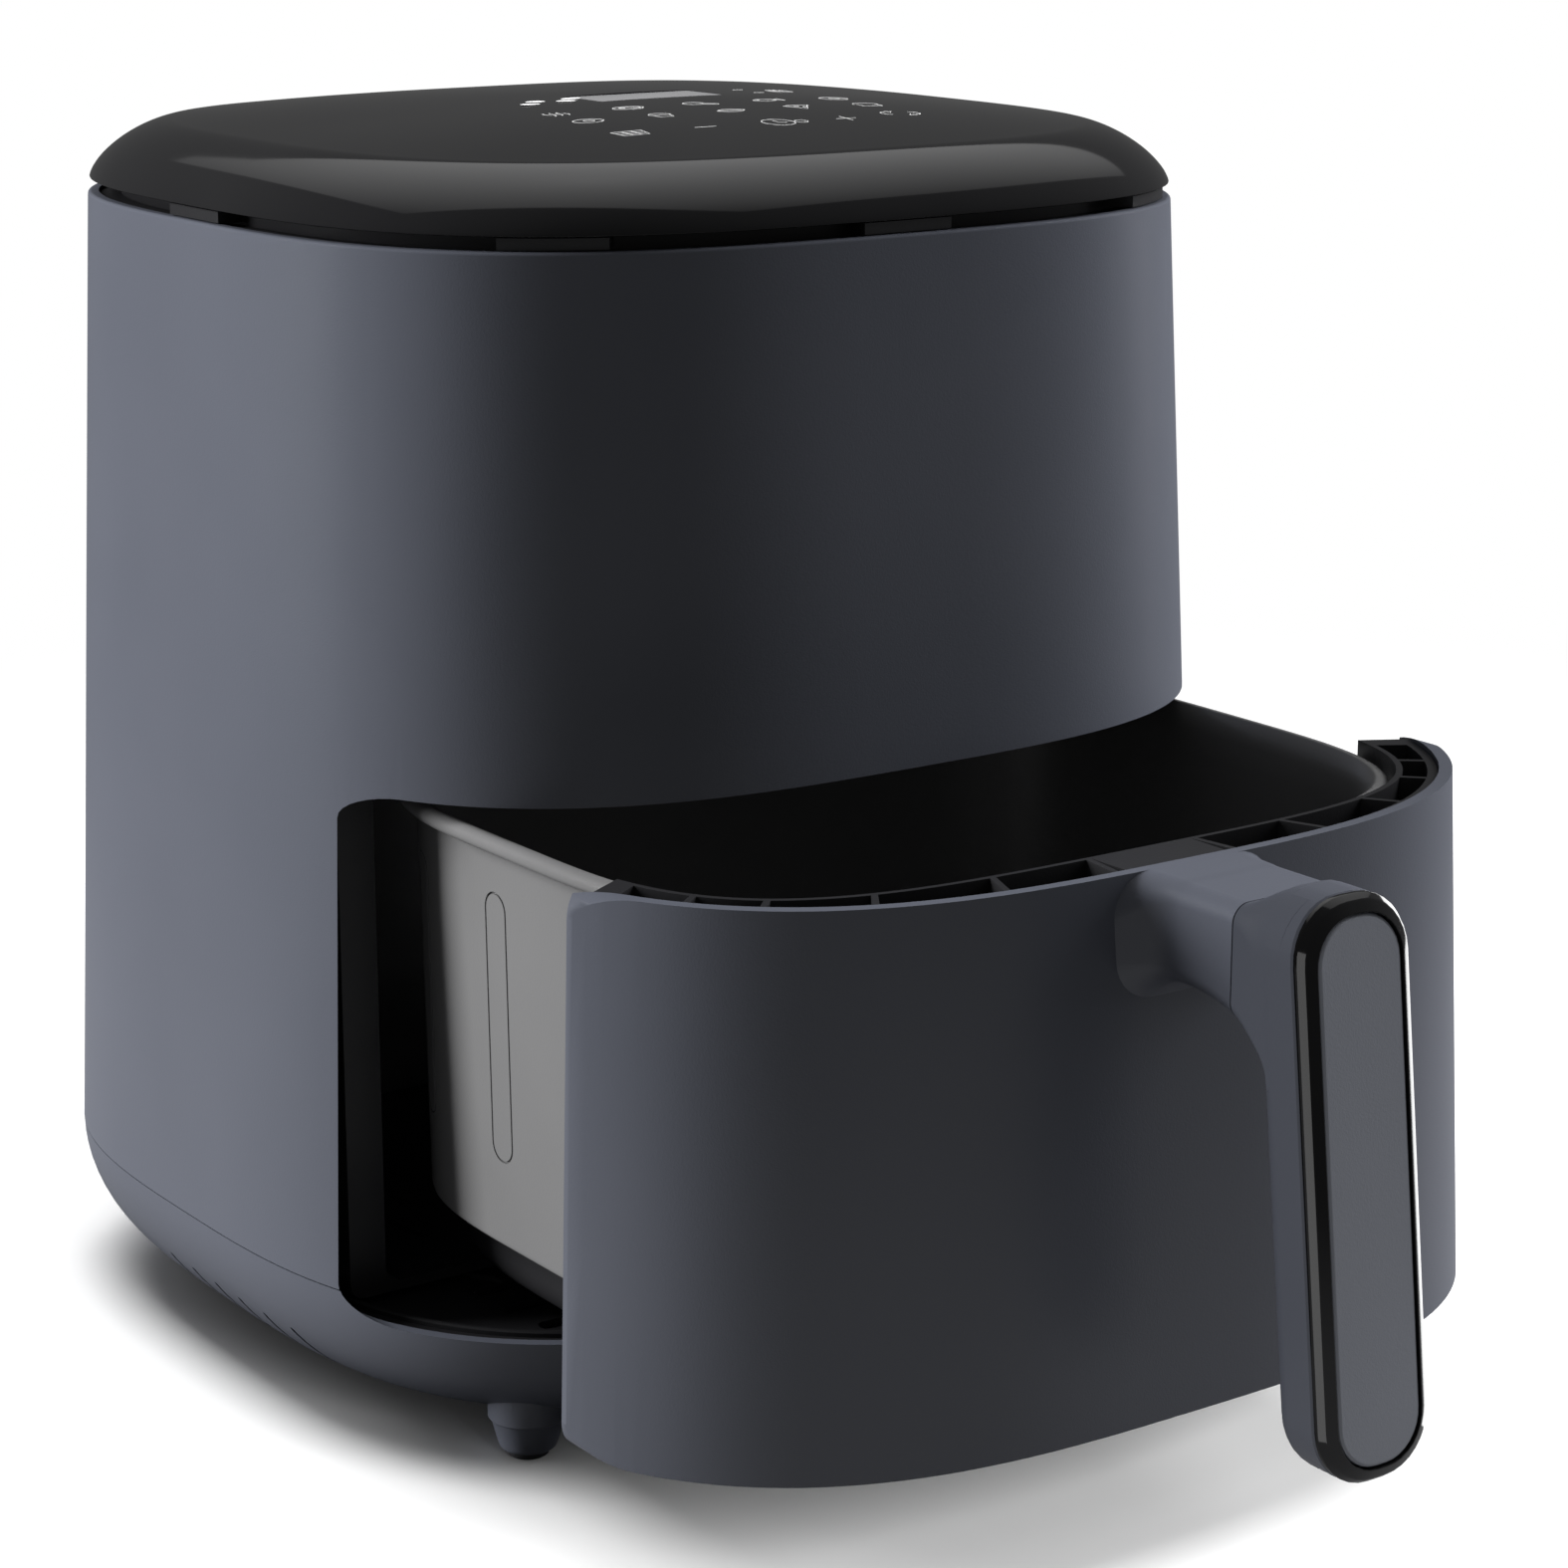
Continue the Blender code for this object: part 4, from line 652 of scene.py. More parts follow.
base = swept("base_moulding", base_rings(WALL, 10)[::-1] + base_rings(0.0, 18), (0.0, centre_y),
             PLAN_EXPONENT)
feet = [(side * FOOT_X, centre_y + end * foot_reach) for side in (-1, 1) for end in (-1, 1)]
leg = [(0.0058, 0.0020), (0.0066, 0.0021), (0.0072, 0.0026), (0.0076, 0.0036),
       (0.0093, UNDERSIDE_Z - 0.0004),
       (0.0101, UNDERSIDE_Z + 0.0005), (0.0101, UNDERSIDE_Z + 0.012)]
carve(base, joined("legs", [turned("leg", leg, x, y, 40) for x, y in feet]), operation="UNION")
carve(base, opening_tool("opening", 0.0, centre_y))

# %% [markdown]
# The pads sit in round seats, and a screw goes up beside each leg. The air slots slant
# forward on their way down and have round ends.

# %% Seats, screw holes and air slots
PAD_RADIUS = 0.0055
SCREW_OFFSET = 0.018
SCREW_HEAD, SCREW_SHANK = 0.0041, 0.0020
SCREW_SEAT = UNDERSIDE_Z + 0.003
VENT_COUNT = 6
VENT_PITCH = 0.0130
VENT_FIRST = -0.0500
VENT_SLANT = 0.55
VENT_HALF = 0.0009
VENT_LOW, VENT_HIGH = 0.0150, 0.0268

seats = [turned("seat", [(PAD_RADIUS + GAP, -0.01), (PAD_RADIUS + GAP, 0.0048)], x, y, 40) for x,
         y in feet]
holes = []
for x, y in feet:
    hole = [(SCREW_HEAD, 0.0), (SCREW_HEAD, SCREW_SEAT), (SCREW_SHANK, SCREW_SEAT),
            (SCREW_SHANK, UNDERSIDE_Z + 0.0183)]
    place_x = x - math.copysign(SCREW_OFFSET, x)
    place_y = y - math.copysign(SCREW_OFFSET, y - centre_y)
    holes.append(turned("hole", hole, place_x, place_y, 28))
carve(base, joined("seats", seats), joined("holes", holes))

slots = []
for index in range(VENT_COUNT):
    for side in (-1, 1):
        y = centre_y + VENT_FIRST + VENT_PITCH * index
        ends = sorted((side * half_width * 0.86, side * half_width * 1.2))
        slot = block("slot", (ends[0], y - VENT_HALF, VENT_LOW), (ends[1], y + VENT_HALF, VENT_HIGH))
        round_edges(slot, lambda e: runs_along(e, 0), 0.00085, 4)
        lean = Matrix.Identity(4)
        lean[1][2], lean[1][3] = VENT_SLANT, -VENT_SLANT * VENT_LOW
        slot.data.transform(lean)
        slots.append(slot)
carve(base, joined("slots", slots))
finish(base, "housing", slate, "slate_plastic", "base_tray", edge=0.0003)

# %% [markdown]
# ## Feet
#
# Each leg ends in a small rubber pad with a soft lower edge. One pad is turned and then
# copied to the other three legs.

# %% Rubber pads
pad = turned("pad", [(0.0022, 0.0009), (0.0030, 0.0003), (0.0038, 0.0), (0.0046, 0.0), (0.0052, 0.0004),
                     (PAD_RADIUS, 0.0011), (PAD_RADIUS, 0.0045)], 0.0, 0.0, 40)
for end, reach in (("front", -foot_reach), ("rear", foot_reach)):
    for side, x in (("left", -FOOT_X), ("right", FOOT_X)):
        foot = copied(pad, f"rubber_pad_{end}_{side}", (x, centre_y + reach, 0))
        finish(foot, "housing", rubber, "rubber_black", f"foot_pad_{end}_{side}")
bpy.data.objects.remove(pad, do_unlink=True)

# %% [markdown]
# ## The floor of the drawer bay
#
# Through the open drawer the eye falls on a black floor. A thin lip runs round its front,
# long slots drain crumbs, and low ribs follow the plan behind them.

# %% Bay floor
floor_low, floor_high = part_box("floor_plate")
FLOOR_TOP = 0.0365
FLOOR_THICKNESS = 0.0020
DRAIN_HALF = 0.0025
edge = WALL + 0.0038
floor_rings = [plan(z, edge, at=seam_z) for z in (FLOOR_TOP - FLOOR_THICKNESS, FLOOR_TOP)]
bay_floor = swept("bay_floor", floor_rings, (0.0, centre_y), PLAN_EXPONENT)
low, high = FLOOR_TOP - 0.001, FLOOR_TOP + 0.0015
for offset, rise in ((0.004, 0.0015), (0.034, 0.0010), (0.046, 0.0010)):
    top = FLOOR_TOP + rise
    path = [(low, offset), (top - 0.0004, offset), (top, offset + 0.0005), (top, offset + 0.0013),
            (top - 0.0004, offset + 0.0018), (low, offset + 0.0018)]
    rib = swept("rib", [plan(z, edge + inset, at=seam_z) for z, inset in path], (0.0, centre_y),
                PLAN_EXPONENT, hollow=True)
    carve(bay_floor, rib, operation="UNION")
drains = []
for y, half in ((-0.100, 0.014), (-0.086, 0.016), (-0.072, 0.016)):
    for x in (-0.080, -0.040, 0.0, 0.040, 0.080):
        middle_y = centre_y + y
        drain = block("drain", (x - half, middle_y - DRAIN_HALF, 0.0),
                      (x + half, middle_y + DRAIN_HALF, 0.06))
        round_edges(drain, lambda e: runs_along(e, 2), 0.0024, 6)
        drains.append(drain)
carve(bay_floor, joined("drains", drains))
finish(bay_floor, "housing", black, "black_plastic", "floor_plate", edge=0.0002)

# %% [markdown]
# ## The lid
#
# A polished black lid floats over the shell. Its shoulder rises steeply from a crisp lower
# edge and rolls into a top that is very slightly domed, with a soft crease between them.
# The roll is a superellipse too, so it leaves the edge upright and meets the top flat.

# %% Lid
SHOULDER_SCALE = 0.84
SHOULDER_HEIGHT = 0.0154
DOME_HEIGHT = 0.0066
LID_WALL = 0.0030
lid_edge = lid_low.z
shoulder_z = lid_edge + SHOULDER_HEIGHT


def lid_top(share):
    """Height of the domed top, at a share of the way out to the shoulder."""
    return shoulder_z + DOME_HEIGHT * (1 - share * share)


lid_rings = [plan(shoulder_z - 0.0045, 0, SHOULDER_SCALE + 0.020, rim_z),
             plan(lid_edge + 0.006, 0, LID_OVERLAP - 0.040, rim_z),
             plan(lid_edge + 0.0004, 0, LID_OVERLAP - 0.022, rim_z),
             plan(lid_edge, 0, LID_OVERLAP - 0.019, rim_z),
             plan(lid_edge, 0, LID_OVERLAP - 0.004, rim_z),
             plan(lid_edge + 0.0002, 0, LID_OVERLAP - 0.001, rim_z)]
ceiling = [plan(lid_top(share) - LID_WALL, 0, SHOULDER_SCALE * share, rim_z)
           for share in (0.3, 0.6, 0.9)]
lid_rings = ceiling + lid_rings
SHOULDER_STEPS = 22
for step in range(1, SHOULDER_STEPS + 1):
    turn = math.pi / 2 * step / SHOULDER_STEPS
    out = max(math.cos(turn), 0.0) ** (4 / 3)
    rise = math.sin(turn) ** (4 / 3)
    scale = SHOULDER_SCALE + (LID_OVERLAP - SHOULDER_SCALE) * out
    lid_rings.append(plan(lid_edge + SHOULDER_HEIGHT * rise, 0, scale, rim_z))
for share in (0.985, 0.96, 0.92, 0.86, 0.78, 0.68, 0.56, 0.42, 0.28, 0.14, 0.04):
    lid_rings.append(plan(lid_top(share), 0, SHOULDER_SCALE * share, rim_z))
lid = swept("lid", lid_rings, (0.0, centre_y), PLAN_EXPONENT)

lens_low, lens_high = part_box("display_lens")
window = block("window", (lens_low.x - GAP, lens_low.y - GAP, lens_low.z - GAP),
               (lens_high.x + GAP, lens_high.y + GAP, 0.4))
round_edges(window, lambda e: runs_along(e, 2), 0.0013, 5)
carve(lid, window)
finish(lid, "housing", gloss, "gloss_black", "lid_cover", angle=40)

# %% [markdown]
# ## The display window
#
# A grey window with small corner radii, set a hair below the polished lid.

# %% Display window
glass = block("display_window", lens_low, lens_high)
round_edges(glass, lambda e: runs_along(e, 2), 0.0011, 5)
finish(glass, "housing", lens_glass, "display_glass", "display_lens", edge=0.0001)

# %% [markdown]
# ## The band under the lid
#
# A black band sits inside the shell and carries the lid. Short tabs stand out from it into
# the gap, and they show as darker blocks in the shadow line.

# %% Band and tabs
TAB_HALF = 0.0130
TAB_DEGREES = (0, 50, 90, 130)
band_low, band_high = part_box("vent_ring")
seat = WALL + GAP
path = [(seat, band_low.z), (seat, rim_z - 0.0010), (0.0080, rim_z - 0.0005), (0.0080, band_high.z),
        (0.0105, band_high.z), (0.0105, band_low.z)]
band = swept("lid_band", [plan(z, inset, at=rim_z) for inset, z in path], (0.0, centre_y),
             PLAN_EXPONENT, hollow=True)
low, high = rim_z + GAP, lid_edge - GAP
path = [(0.0015, low), (0.0015, high), (0.0090, high), (0.0090, low)]
collar = swept("tabs", [plan(z, inset, at=rim_z) for inset, z in path], (0.0, centre_y), PLAN_EXPONENT,
               hollow=True)
strips = []
for degrees in TAB_DEGREES:
    strip = block("strip", (-0.2, -TAB_HALF, low - 0.01), (0.2, TAB_HALF, high + 0.01))
    turn = Matrix.Rotation(math.radians(degrees), 4, "Z")
    strip.data.transform(Matrix.Translation((0, centre_y, 0)) @ turn)
    strips.append(strip)
star = strips[0]
for strip in strips[1:]:
    carve(star, strip, operation="UNION")
carve(collar, star, operation="INTERSECT")
carve(band, collar, operation="UNION")
finish(band, "housing", black, "black_plastic", "vent_ring", edge=0.0002)

# %% [markdown]
# ## Rear grille and cord gland
#
# Hot air leaves through a louvred panel at the back. It is a slice of the same curved wall
# with round-ended slots. The cord's gland is a turned collar that clips into the wall.

# %% Rear grille and gland
LOUVRES = 7
LOUVRE_HALF = 0.0022
LOUVRE_MARGIN = 0.007
wall = swept("rear_louvres",
             [plan(grille_low.z - 0.02), plan(grille_high.z + 0.02), plan(grille_high.z + 0.02, WALL),
                              plan(grille_low.z - 0.02, WALL)], (0.0, centre_y), PLAN_EXPONENT,
             hollow=True)
keep = block("keep", (grille_low.x, centre_y + 0.08, grille_low.z),
             (grille_high.x, centre_y + 0.3, grille_high.z))
round_edges(keep, lambda e: runs_along(e, 1), 0.0037, 6)
carve(wall, keep, operation="INTERSECT")
pitch = (grille_high.z - grille_low.z + 2 * GAP) / (LOUVRES + 1)
louvres = []
for index in range(1, LOUVRES + 1):
    z = grille_low.z - GAP + pitch * index
    louvre = block("louvre", (grille_low.x + LOUVRE_MARGIN, centre_y + 0.08, z - LOUVRE_HALF),
                   (grille_high.x - LOUVRE_MARGIN, centre_y + 0.3, z + LOUVRE_HALF))
    round_edges(louvre, lambda e: runs_along(e, 1), 0.00215, 5)
    louvres.append(louvre)
carve(wall, joined("louvres", louvres))
finish(wall, "housing", black, "black_plastic", "rear_grille", edge=0.0003)

gland_out, gland_in = gland_high.y, gland_low.y
flange = (gland_high.x - gland_low.x) / 2
wall_out = gland_out - 0.0030
profile = [(0.0040, gland_out - 0.0006), (0.0046, gland_out), (flange - 0.0014, gland_out),
           (flange - 0.0003, gland_out - 0.0005),
           (flange, gland_out - 0.0014), (flange, wall_out), (GLAND_NECK, wall_out),
           (GLAND_NECK, gland_in + 0.003),
           (flange, gland_in + 0.003), (flange, gland_in), (0.0040, gland_in)]
gland = turned("gland", [(radius, -y) for radius, y in profile], 0.0, 0.0, 48, hollow=True)
gland.data.transform(Matrix.Translation((0, 0, gland_z)) @ Matrix.Rotation(math.pi / 2, 4, "X"))
finish(gland, "housing", black, "black_plastic", "cord_gland")

# %% [markdown]
# # The control panel
#
# The panel under the lid shows thin white marks: a row of foods, a row of cooking modes,
# and the buttons for time and heat. They are generic line drawings. Each is a few arcs and
# strokes, drawn flat, given a fine round line, and dropped onto the domed lid.

# %% Strokes of an icon
def arc(x, y, wide, deep, first=0, last=360, steps=18):
    """Points along an ellipse, in millimetres."""
    turns = [math.radians(first + (last - first) * i / steps) for i in range(steps + 1)]
    return [(x + wide * math.cos(t), y + deep * math.sin(t)) for t in turns]


ICONS = {
    "fries": [[(-3, 1), (-2.2, -3.4), (2.2, -3.4), (3, 1)], arc(0, 1, 3, 1.2, 180, 360),
              [(-1.6, 0), (-2, 3.6)],
              [(-0.5, 0), (-0.6, 4.2)], [(0.6, 0), (0.8, 4.0)], [(1.7, 0), (2.4, 3.4)]],
    "steak": [arc(0, 0, 4.4, 2.6), arc(0.6, 0.2, 3.1, 1.6), arc(-1.6, 0.2, 0.7, 0.6)],
    "fish": [arc(-0.6, 0, 3.4, 2.0), [(2.6, 0.6), (4.6, 2.0), (4.6, -2.0), (2.6, -0.6)],
             arc(-2.4, 0.4, 0.3, 0.3)],
    "leg": [arc(-1.2, 0.6, 2.8, 2.3), [(1.2, -0.4), (3.6, -1.8)], [(0.6, -1.2), (3.2, -2.6)],
            arc(3.9, -2.4, 0.8, 0.7)],
    "cake": [[(-2.6, 0), (-2, -3.2), (2, -3.2), (2.6, 0)], arc(0, 0, 3.2, 2.6, 0, 180),
             [(-3.2, 0), (3.2, 0)]],
    "leaf": [arc(0, -1.6, 4.4, 3.8, 20, 160), arc(0, 1.6, 4.4, 3.8, 200, 340), [(-3.8, 0), (3.2, 0)]],
    "pizza": [[(-3.8, 2.2), (0, -3.6), (3.8, 2.2)], arc(0, 1.2, 4.0, 1.8, 15, 165),
              arc(-0.8, 0.4, 0.6, 0.6), arc(1.1, -0.6, 0.5, 0.5)],
    "egg": [arc(0, 0, 4.2, 3.0), arc(0.4, 0.2, 1.5, 1.2)],
    "bread": [[(-3, -2.8), (3, -2.8), (3, 0.6)], arc(0, 0.8, 3.8, 2.2, -10, 190),
              [(-3, 0.6), (-3, -2.8)]],
    "steam": [arc(-2, 1.4, 0.8, 1.4, 90, 270, 8) + arc(-2, -1.4, 0.8, 1.4, 90, -90, 8),
              arc(0, 1.4, 0.8, 1.4, 90, 270, 8)
              + arc(0, -1.4, 0.8, 1.4, 90, -90, 8),
              arc(2, 1.4, 0.8, 1.4, 90, 270, 8) + arc(2, -1.4, 0.8, 1.4, 90, -90, 8)],
    "basket": [[(-4.4, 2.4), (-3.6, -3.0), (3.6, -3.0), (4.4, 2.4), (-4.4, 2.4)],
               [(-4.1, 0.6), (4.1, 0.6)], [(-3.9, -1.2), (3.9, -1.2)],
               [(-1.4, 2.4), (-1.2, -3.0)], [(1.4, 2.4), (1.2, -3.0)]],
    "minus": [[(-3.2, 0), (3.2, 0)]],
    "plus": [[(-3.0, 0), (3.0, 0)], [(0, -3.0), (0, 3.0)]],
    "clock": [arc(0, 0, 4.3, 4.3, 0, 360, 28), [(0, 2.6), (0, 0), (2.0, -1.0)],
              arc(6.6, -0.6, 1.7, 1.7)],
    "swap": [arc(-2.4, 0.6, 3.0, 2.4, 60, 250), [(-2.6, 3.6), (-0.8, 2.8), (-2.2, 1.4)],
             arc(2.6, -0.6, 3.0, 2.4, -120, 70),
             [(2.8, -3.6), (1.0, -2.8), (2.4, -1.4)]],
    "dash": [[(-1.6, 0), (1.6, 0)]],
}
LAYOUT = [(-43, -34, "steam"), (-21.5, -34, "steak"), (0, -34, "leg"), (21.5, -34, "fish"),
          (43, -34, "egg"),
          (-43, -49, "egg"), (-21.5, -49, "cake"), (0, -49, "leaf"), (21.5, -49, "pizza"),
          (43, -49, "bread"),
          (-44, -70, "basket"), (-22, -70, "minus"), (0, -70, "clock"), (21, -70, "plus"),
          (41, -66, "swap"),
          (33, -4, "dash"), (33, -14, "dash"), (43, -9, "fries")]
print(len(ICONS), "drawings,", len(LAYOUT), "marks")

# %% [markdown]
# A curve object holds all strokes of the panel at once. Its bevel gives them a round line,
# it is made a mesh, and each point is then lifted onto the lid's dome.

# %% Draw the marks on the lid
STROKE = 0.00010
INK_PROUD = 0.00004
INK_FLATNESS = 0.35


def lid_surface(x, y):
    """Height of the lid's dome under a point of the panel."""
    wide, front, rear, _ = plan(rim_z, 0, SHOULDER_SCALE, rim_z)
    deep = rear if y > 0 else front
    share = (abs(x / wide) ** PLAN_EXPONENT + abs(y / deep) ** PLAN_EXPONENT) ** (1 / PLAN_EXPONENT)
    return lid_top(share)


bpy.ops.object.select_all(action="DESELECT")
drawing = bpy.data.curves.new("panel_marks", "CURVE")
drawing.dimensions = "3D"
drawing.bevel_depth = STROKE
drawing.bevel_resolution = 1
drawing.use_fill_caps = True
for x, y, label in LAYOUT:
    for stroke in ICONS[label]:
        line = drawing.splines.new("POLY")
        line.points.add(len(stroke) - 1)
        for point, (across, along) in zip(line.points, stroke):
            point.co = ((x + across) / 1000, (y + along) / 1000, 0.0, 1.0)
marks = bpy.data.objects.new("panel_marks", drawing)
bpy.context.scene.collection.objects.link(marks)
only(marks)
bpy.ops.object.convert(target="MESH")
marks = bpy.context.object
for vertex in marks.data.vertices:
    x, y, z = vertex.co
    vertex.co = (x, centre_y + y, lid_surface(x, y) + z * INK_FLATNESS + INK_PROUD)
finish(marks, "housing", ink, "display_glass")

# %% [markdown]
# Two pairs of bright petals stand left of the window. One petal is a flattened disc, and
# the other three are copies of it.

# %% Petals beside the window
petal = turned("petal",
               [(0.0008, 0.0), (0.0017, 0.00006), (0.0019, 0.00012), (0.0017, 0.00018),
                (0.0008, 0.0002)], 0.0, 0.0, 28)
petals = []
for index, (x, y) in enumerate(((-36.6, -11.2), (-32.4, -6.8), (-25.8, -11.2), (-21.6, -6.8))):
    leaf = copied(petal, f"petal_{index}")
    leaf.data.transform(Matrix.Diagonal((1.5, 0.9, 1.0, 1.0)))
    leaf.data.transform(Matrix.Translation((x / 1000, centre_y + y / 1000,
                                            lid_surface(x / 1000, y / 1000) - 0.00002)))
    petals.append(leaf)
bpy.data.objects.remove(petal, do_unlink=True)
finish(joined("panel_petals", petals), "housing", ink, "display_glass")

# %% [markdown]
# # The drawer
#
# ## The curved front with its neck
#
# The drawer front is a slice of the housing's wall, trimmed by the opening. The neck that
# carries the handle is moulded in one piece with it, and flares into the wall all round.

# %% Rounded bar along the depth
HANDLE_SCREW_Z = 0.1600
NECK_TOP = 0.1725
NECK_BOTTOM = 0.1490
NECK_LENGTH = 0.0310
NECK_CORNER = 0.0045
ARCH_START = 0.0140
ARCH_DEPTH = 0.0295
ARCH_HEIGHT = 0.0175
COLLAR_GROWTH = 0.0085
COLLAR_SHARE = 0.46
COLLAR_CORNER = 0.0105
PANEL_WALL = 0.0030

grip_low, grip_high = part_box("handle_grip")
handle_half = grip_high.x
panel_y = drawer_y - plan(HANDLE_SCREW_Z)[1]
neck_y = panel_y - NECK_LENGTH
arch_y = panel_y - ARCH_START


def underside(y):
    """The neck's lower face: flat near the panel, then a quarter of an ellipse down to the grip."""
    share = min(max((arch_y - y) / ARCH_DEPTH, 0.0), 1.0)
    return NECK_BOTTOM - ARCH_HEIGHT * (1 - math.sqrt(1 - share * share))


def corner_points(half, bottom, top, corners, steps):
    """A rounded rectangle across the depth, as (x, z) pairs. Its radius is one or (lower, upper)."""
    below, above = corners if isinstance(corners, tuple) else (corners, corners)
    points = []
    for x, z, first in ((half, bottom, -90), (half, top, 0), (-half, top, 90), (-half, bottom, 180)):
        radius = below if z == bottom else above
        middle_x = x - math.copysign(radius, x)
        middle_z = z + radius if z == bottom else z - radius
        for step in range(steps + 1):
            turn = math.radians(first + 90 * step / steps)
            points.append((middle_x + radius * math.cos(turn), middle_z + radius * math.sin(turn)))
    return points


def bar(name, sections):
    """A bar through rounded sections: (y, half width, bottom, top, corners) of each."""
    steps = 8
    count = 4 * (steps + 1)
    bpy.ops.object.select_all(action="DESELECT")
    bpy.ops.mesh.primitive_circle_add(vertices=count, radius=1.0)
    piece = named(bpy.context.object, name)
    open_mesh(piece)
    bpy.ops.mesh.select_all(action="SELECT")
    for _ in sections[1:]:
        bpy.ops.mesh.extrude_edges_move()
    close_mesh()
    for index, (y, half, bottom, top, radius) in enumerate(sections):
        for point, (x, z) in enumerate(corner_points(half, bottom, top, radius, steps)):
            piece.data.vertices[index * count + point].co = (x, y, z)
    open_mesh(piece)
    bpy.ops.mesh.select_non_manifold()
    bpy.ops.mesh.fill_holes(sides=0)
    bpy.ops.mesh.select_all(action="SELECT")
    bpy.ops.mesh.normals_make_consistent(inside=False)
    close_mesh()
    return piece


# %% [markdown]
# A straight cut through the curved wall would leave a broad face at each end of the drawer
# front, because the wall runs nearly along the cut there. So its ends are cut square to
# the wall by a wedge whose tip stands in the middle of the plan.

# %% Wedge
def wedge(name, degrees, bottom, top):
    """A prism that holds everything within an angle either side of the front."""
    reach = 0.4
    side = reach * math.tan(math.radians(min(degrees, 80)))
    prism = block(name, (-side, -reach, bottom), (side, 0.0, top))
    open_mesh(prism)
    pick(prism, "verts", lambda v: v.co.y > -0.001)
    bpy.ops.transform.resize(value=(0.0001, 1, 1), center_override=(0, 0, 0))
    close_mesh()
    prism.data.transform(Matrix.Translation((0, drawer_y, 0)))
    return prism


# %% Drawer front
low, high = panel_low.z - 0.02, panel_high.z + 0.02
front = swept("drawer_panel",
              [plan(low), plan(0.09), plan(0.13), plan(high), plan(high, PANEL_WALL),
               plan(low, PANEL_WALL)],
              (0.0, drawer_y), PLAN_EXPONENT, hollow=True)
carve(front, opening_tool("trim", OPENING_CLEARANCE, drawer_y), operation="INTERSECT")
end_share = (1 - (OPENING_HALF_WIDTH / half_width) ** PLAN_EXPONENT) ** (1 / PLAN_EXPONENT)
END_DEGREES = math.degrees(math.atan2(OPENING_HALF_WIDTH, half_front * end_share)) - 0.4
carve(front, wedge("ends", END_DEGREES, 0.0, 0.3), operation="INTERSECT")
print(f"the drawer front spans {END_DEGREES:.1f} degrees to either side")
sections = []
NECK_STEPS = 26
start = panel_y + PANEL_WALL / 2
for step in range(NECK_STEPS + 1):
    share = step / NECK_STEPS
    grow = COLLAR_GROWTH * max(1 - share / COLLAR_SHARE, 0.0) ** 2.2
    y = start + (neck_y - start) * share
    top = min(NECK_TOP + grow, panel_high.z)
    radius = min(NECK_CORNER + grow * 0.9, COLLAR_CORNER)
    sections.append((y, handle_half + grow, underside(y) - grow, top, radius))
carve(front, bar("neck", sections), operation="UNION")
finish(front, "drawer", slate, "slate_plastic", "drawer_front", edge=0.0003)

# %% [markdown]
# ## The frame behind the front
#
# A black frame fills the space between the pot and the curved front. Seen from above it is
# a row of open pockets with thin webs between them, and its ends curl round the pot. It is
# cut like dough: a slab of the plan outline, less the pot's outline, less the pockets.

# %% Drawer frame
FRAME_BOTTOM = 0.1250
POT_CLEARANCE = 0.0012
POT_EXPONENT = 3.8
FRAME_END = 60.0
WEB_DEGREES = (8.0, 21.0, 34.0, 44.0, 51.0)
WEB_HALF = 0.0008
MIDDLE_WEB_HALF = 0.0150

frame_low, frame_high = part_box("drawer_frame")
pot_half = (pot_high.x - pot_low.x) / 2
pot_deep = (pot_high.y - pot_low.y) / 2


def pot_ring(z, inset=0.0):
    return (pot_half - inset, pot_deep - inset, pot_deep - inset, z)


def frame_slab(name, bottom, top, outset, clearance):
    """The plan outline less the pot's outline."""
    slab = swept(name, [plan(bottom, outset), plan(top, outset)], (0.0, drawer_y), PLAN_EXPONENT)
    hole = swept("hole", [pot_ring(bottom - 0.01, -clearance), pot_ring(top + 0.01, -clearance)],
                 (0.0, pot_y), POT_EXPONENT)
    return carve(slab, hole)


outer = PANEL_WALL + GAP
carrier = frame_slab("pot_carrier", FRAME_BOTTOM, frame_high.z, outer, POT_CLEARANCE)
carve(carrier, wedge("keep", FRAME_END, 0.0, 0.3), operation="INTERSECT")
pockets = frame_slab("pockets", FRAME_BOTTOM + 0.016, 0.20, outer + 0.0022, POT_CLEARANCE + 0.0014)
carve(pockets, wedge("keep", FRAME_END - 2.5, 0.0, 0.3), operation="INTERSECT")
webs = []
for degrees in WEB_DEGREES:
    for side in (-1, 1):
        web = block("web", (-WEB_HALF, -0.3, 0.1), (WEB_HALF, -0.02, 0.3))
        turn = Matrix.Rotation(math.radians(side * degrees), 4, "Z")
        web.data.transform(Matrix.Translation((0, drawer_y, 0)) @ turn)
        webs.append(web)
webs.append(block("middle", (-MIDDLE_WEB_HALF, drawer_y - 0.3, 0.1), (MIDDLE_WEB_HALF, drawer_y, 0.3)))
for web in webs:
    carve(pockets, web)
carve(carrier, pockets)

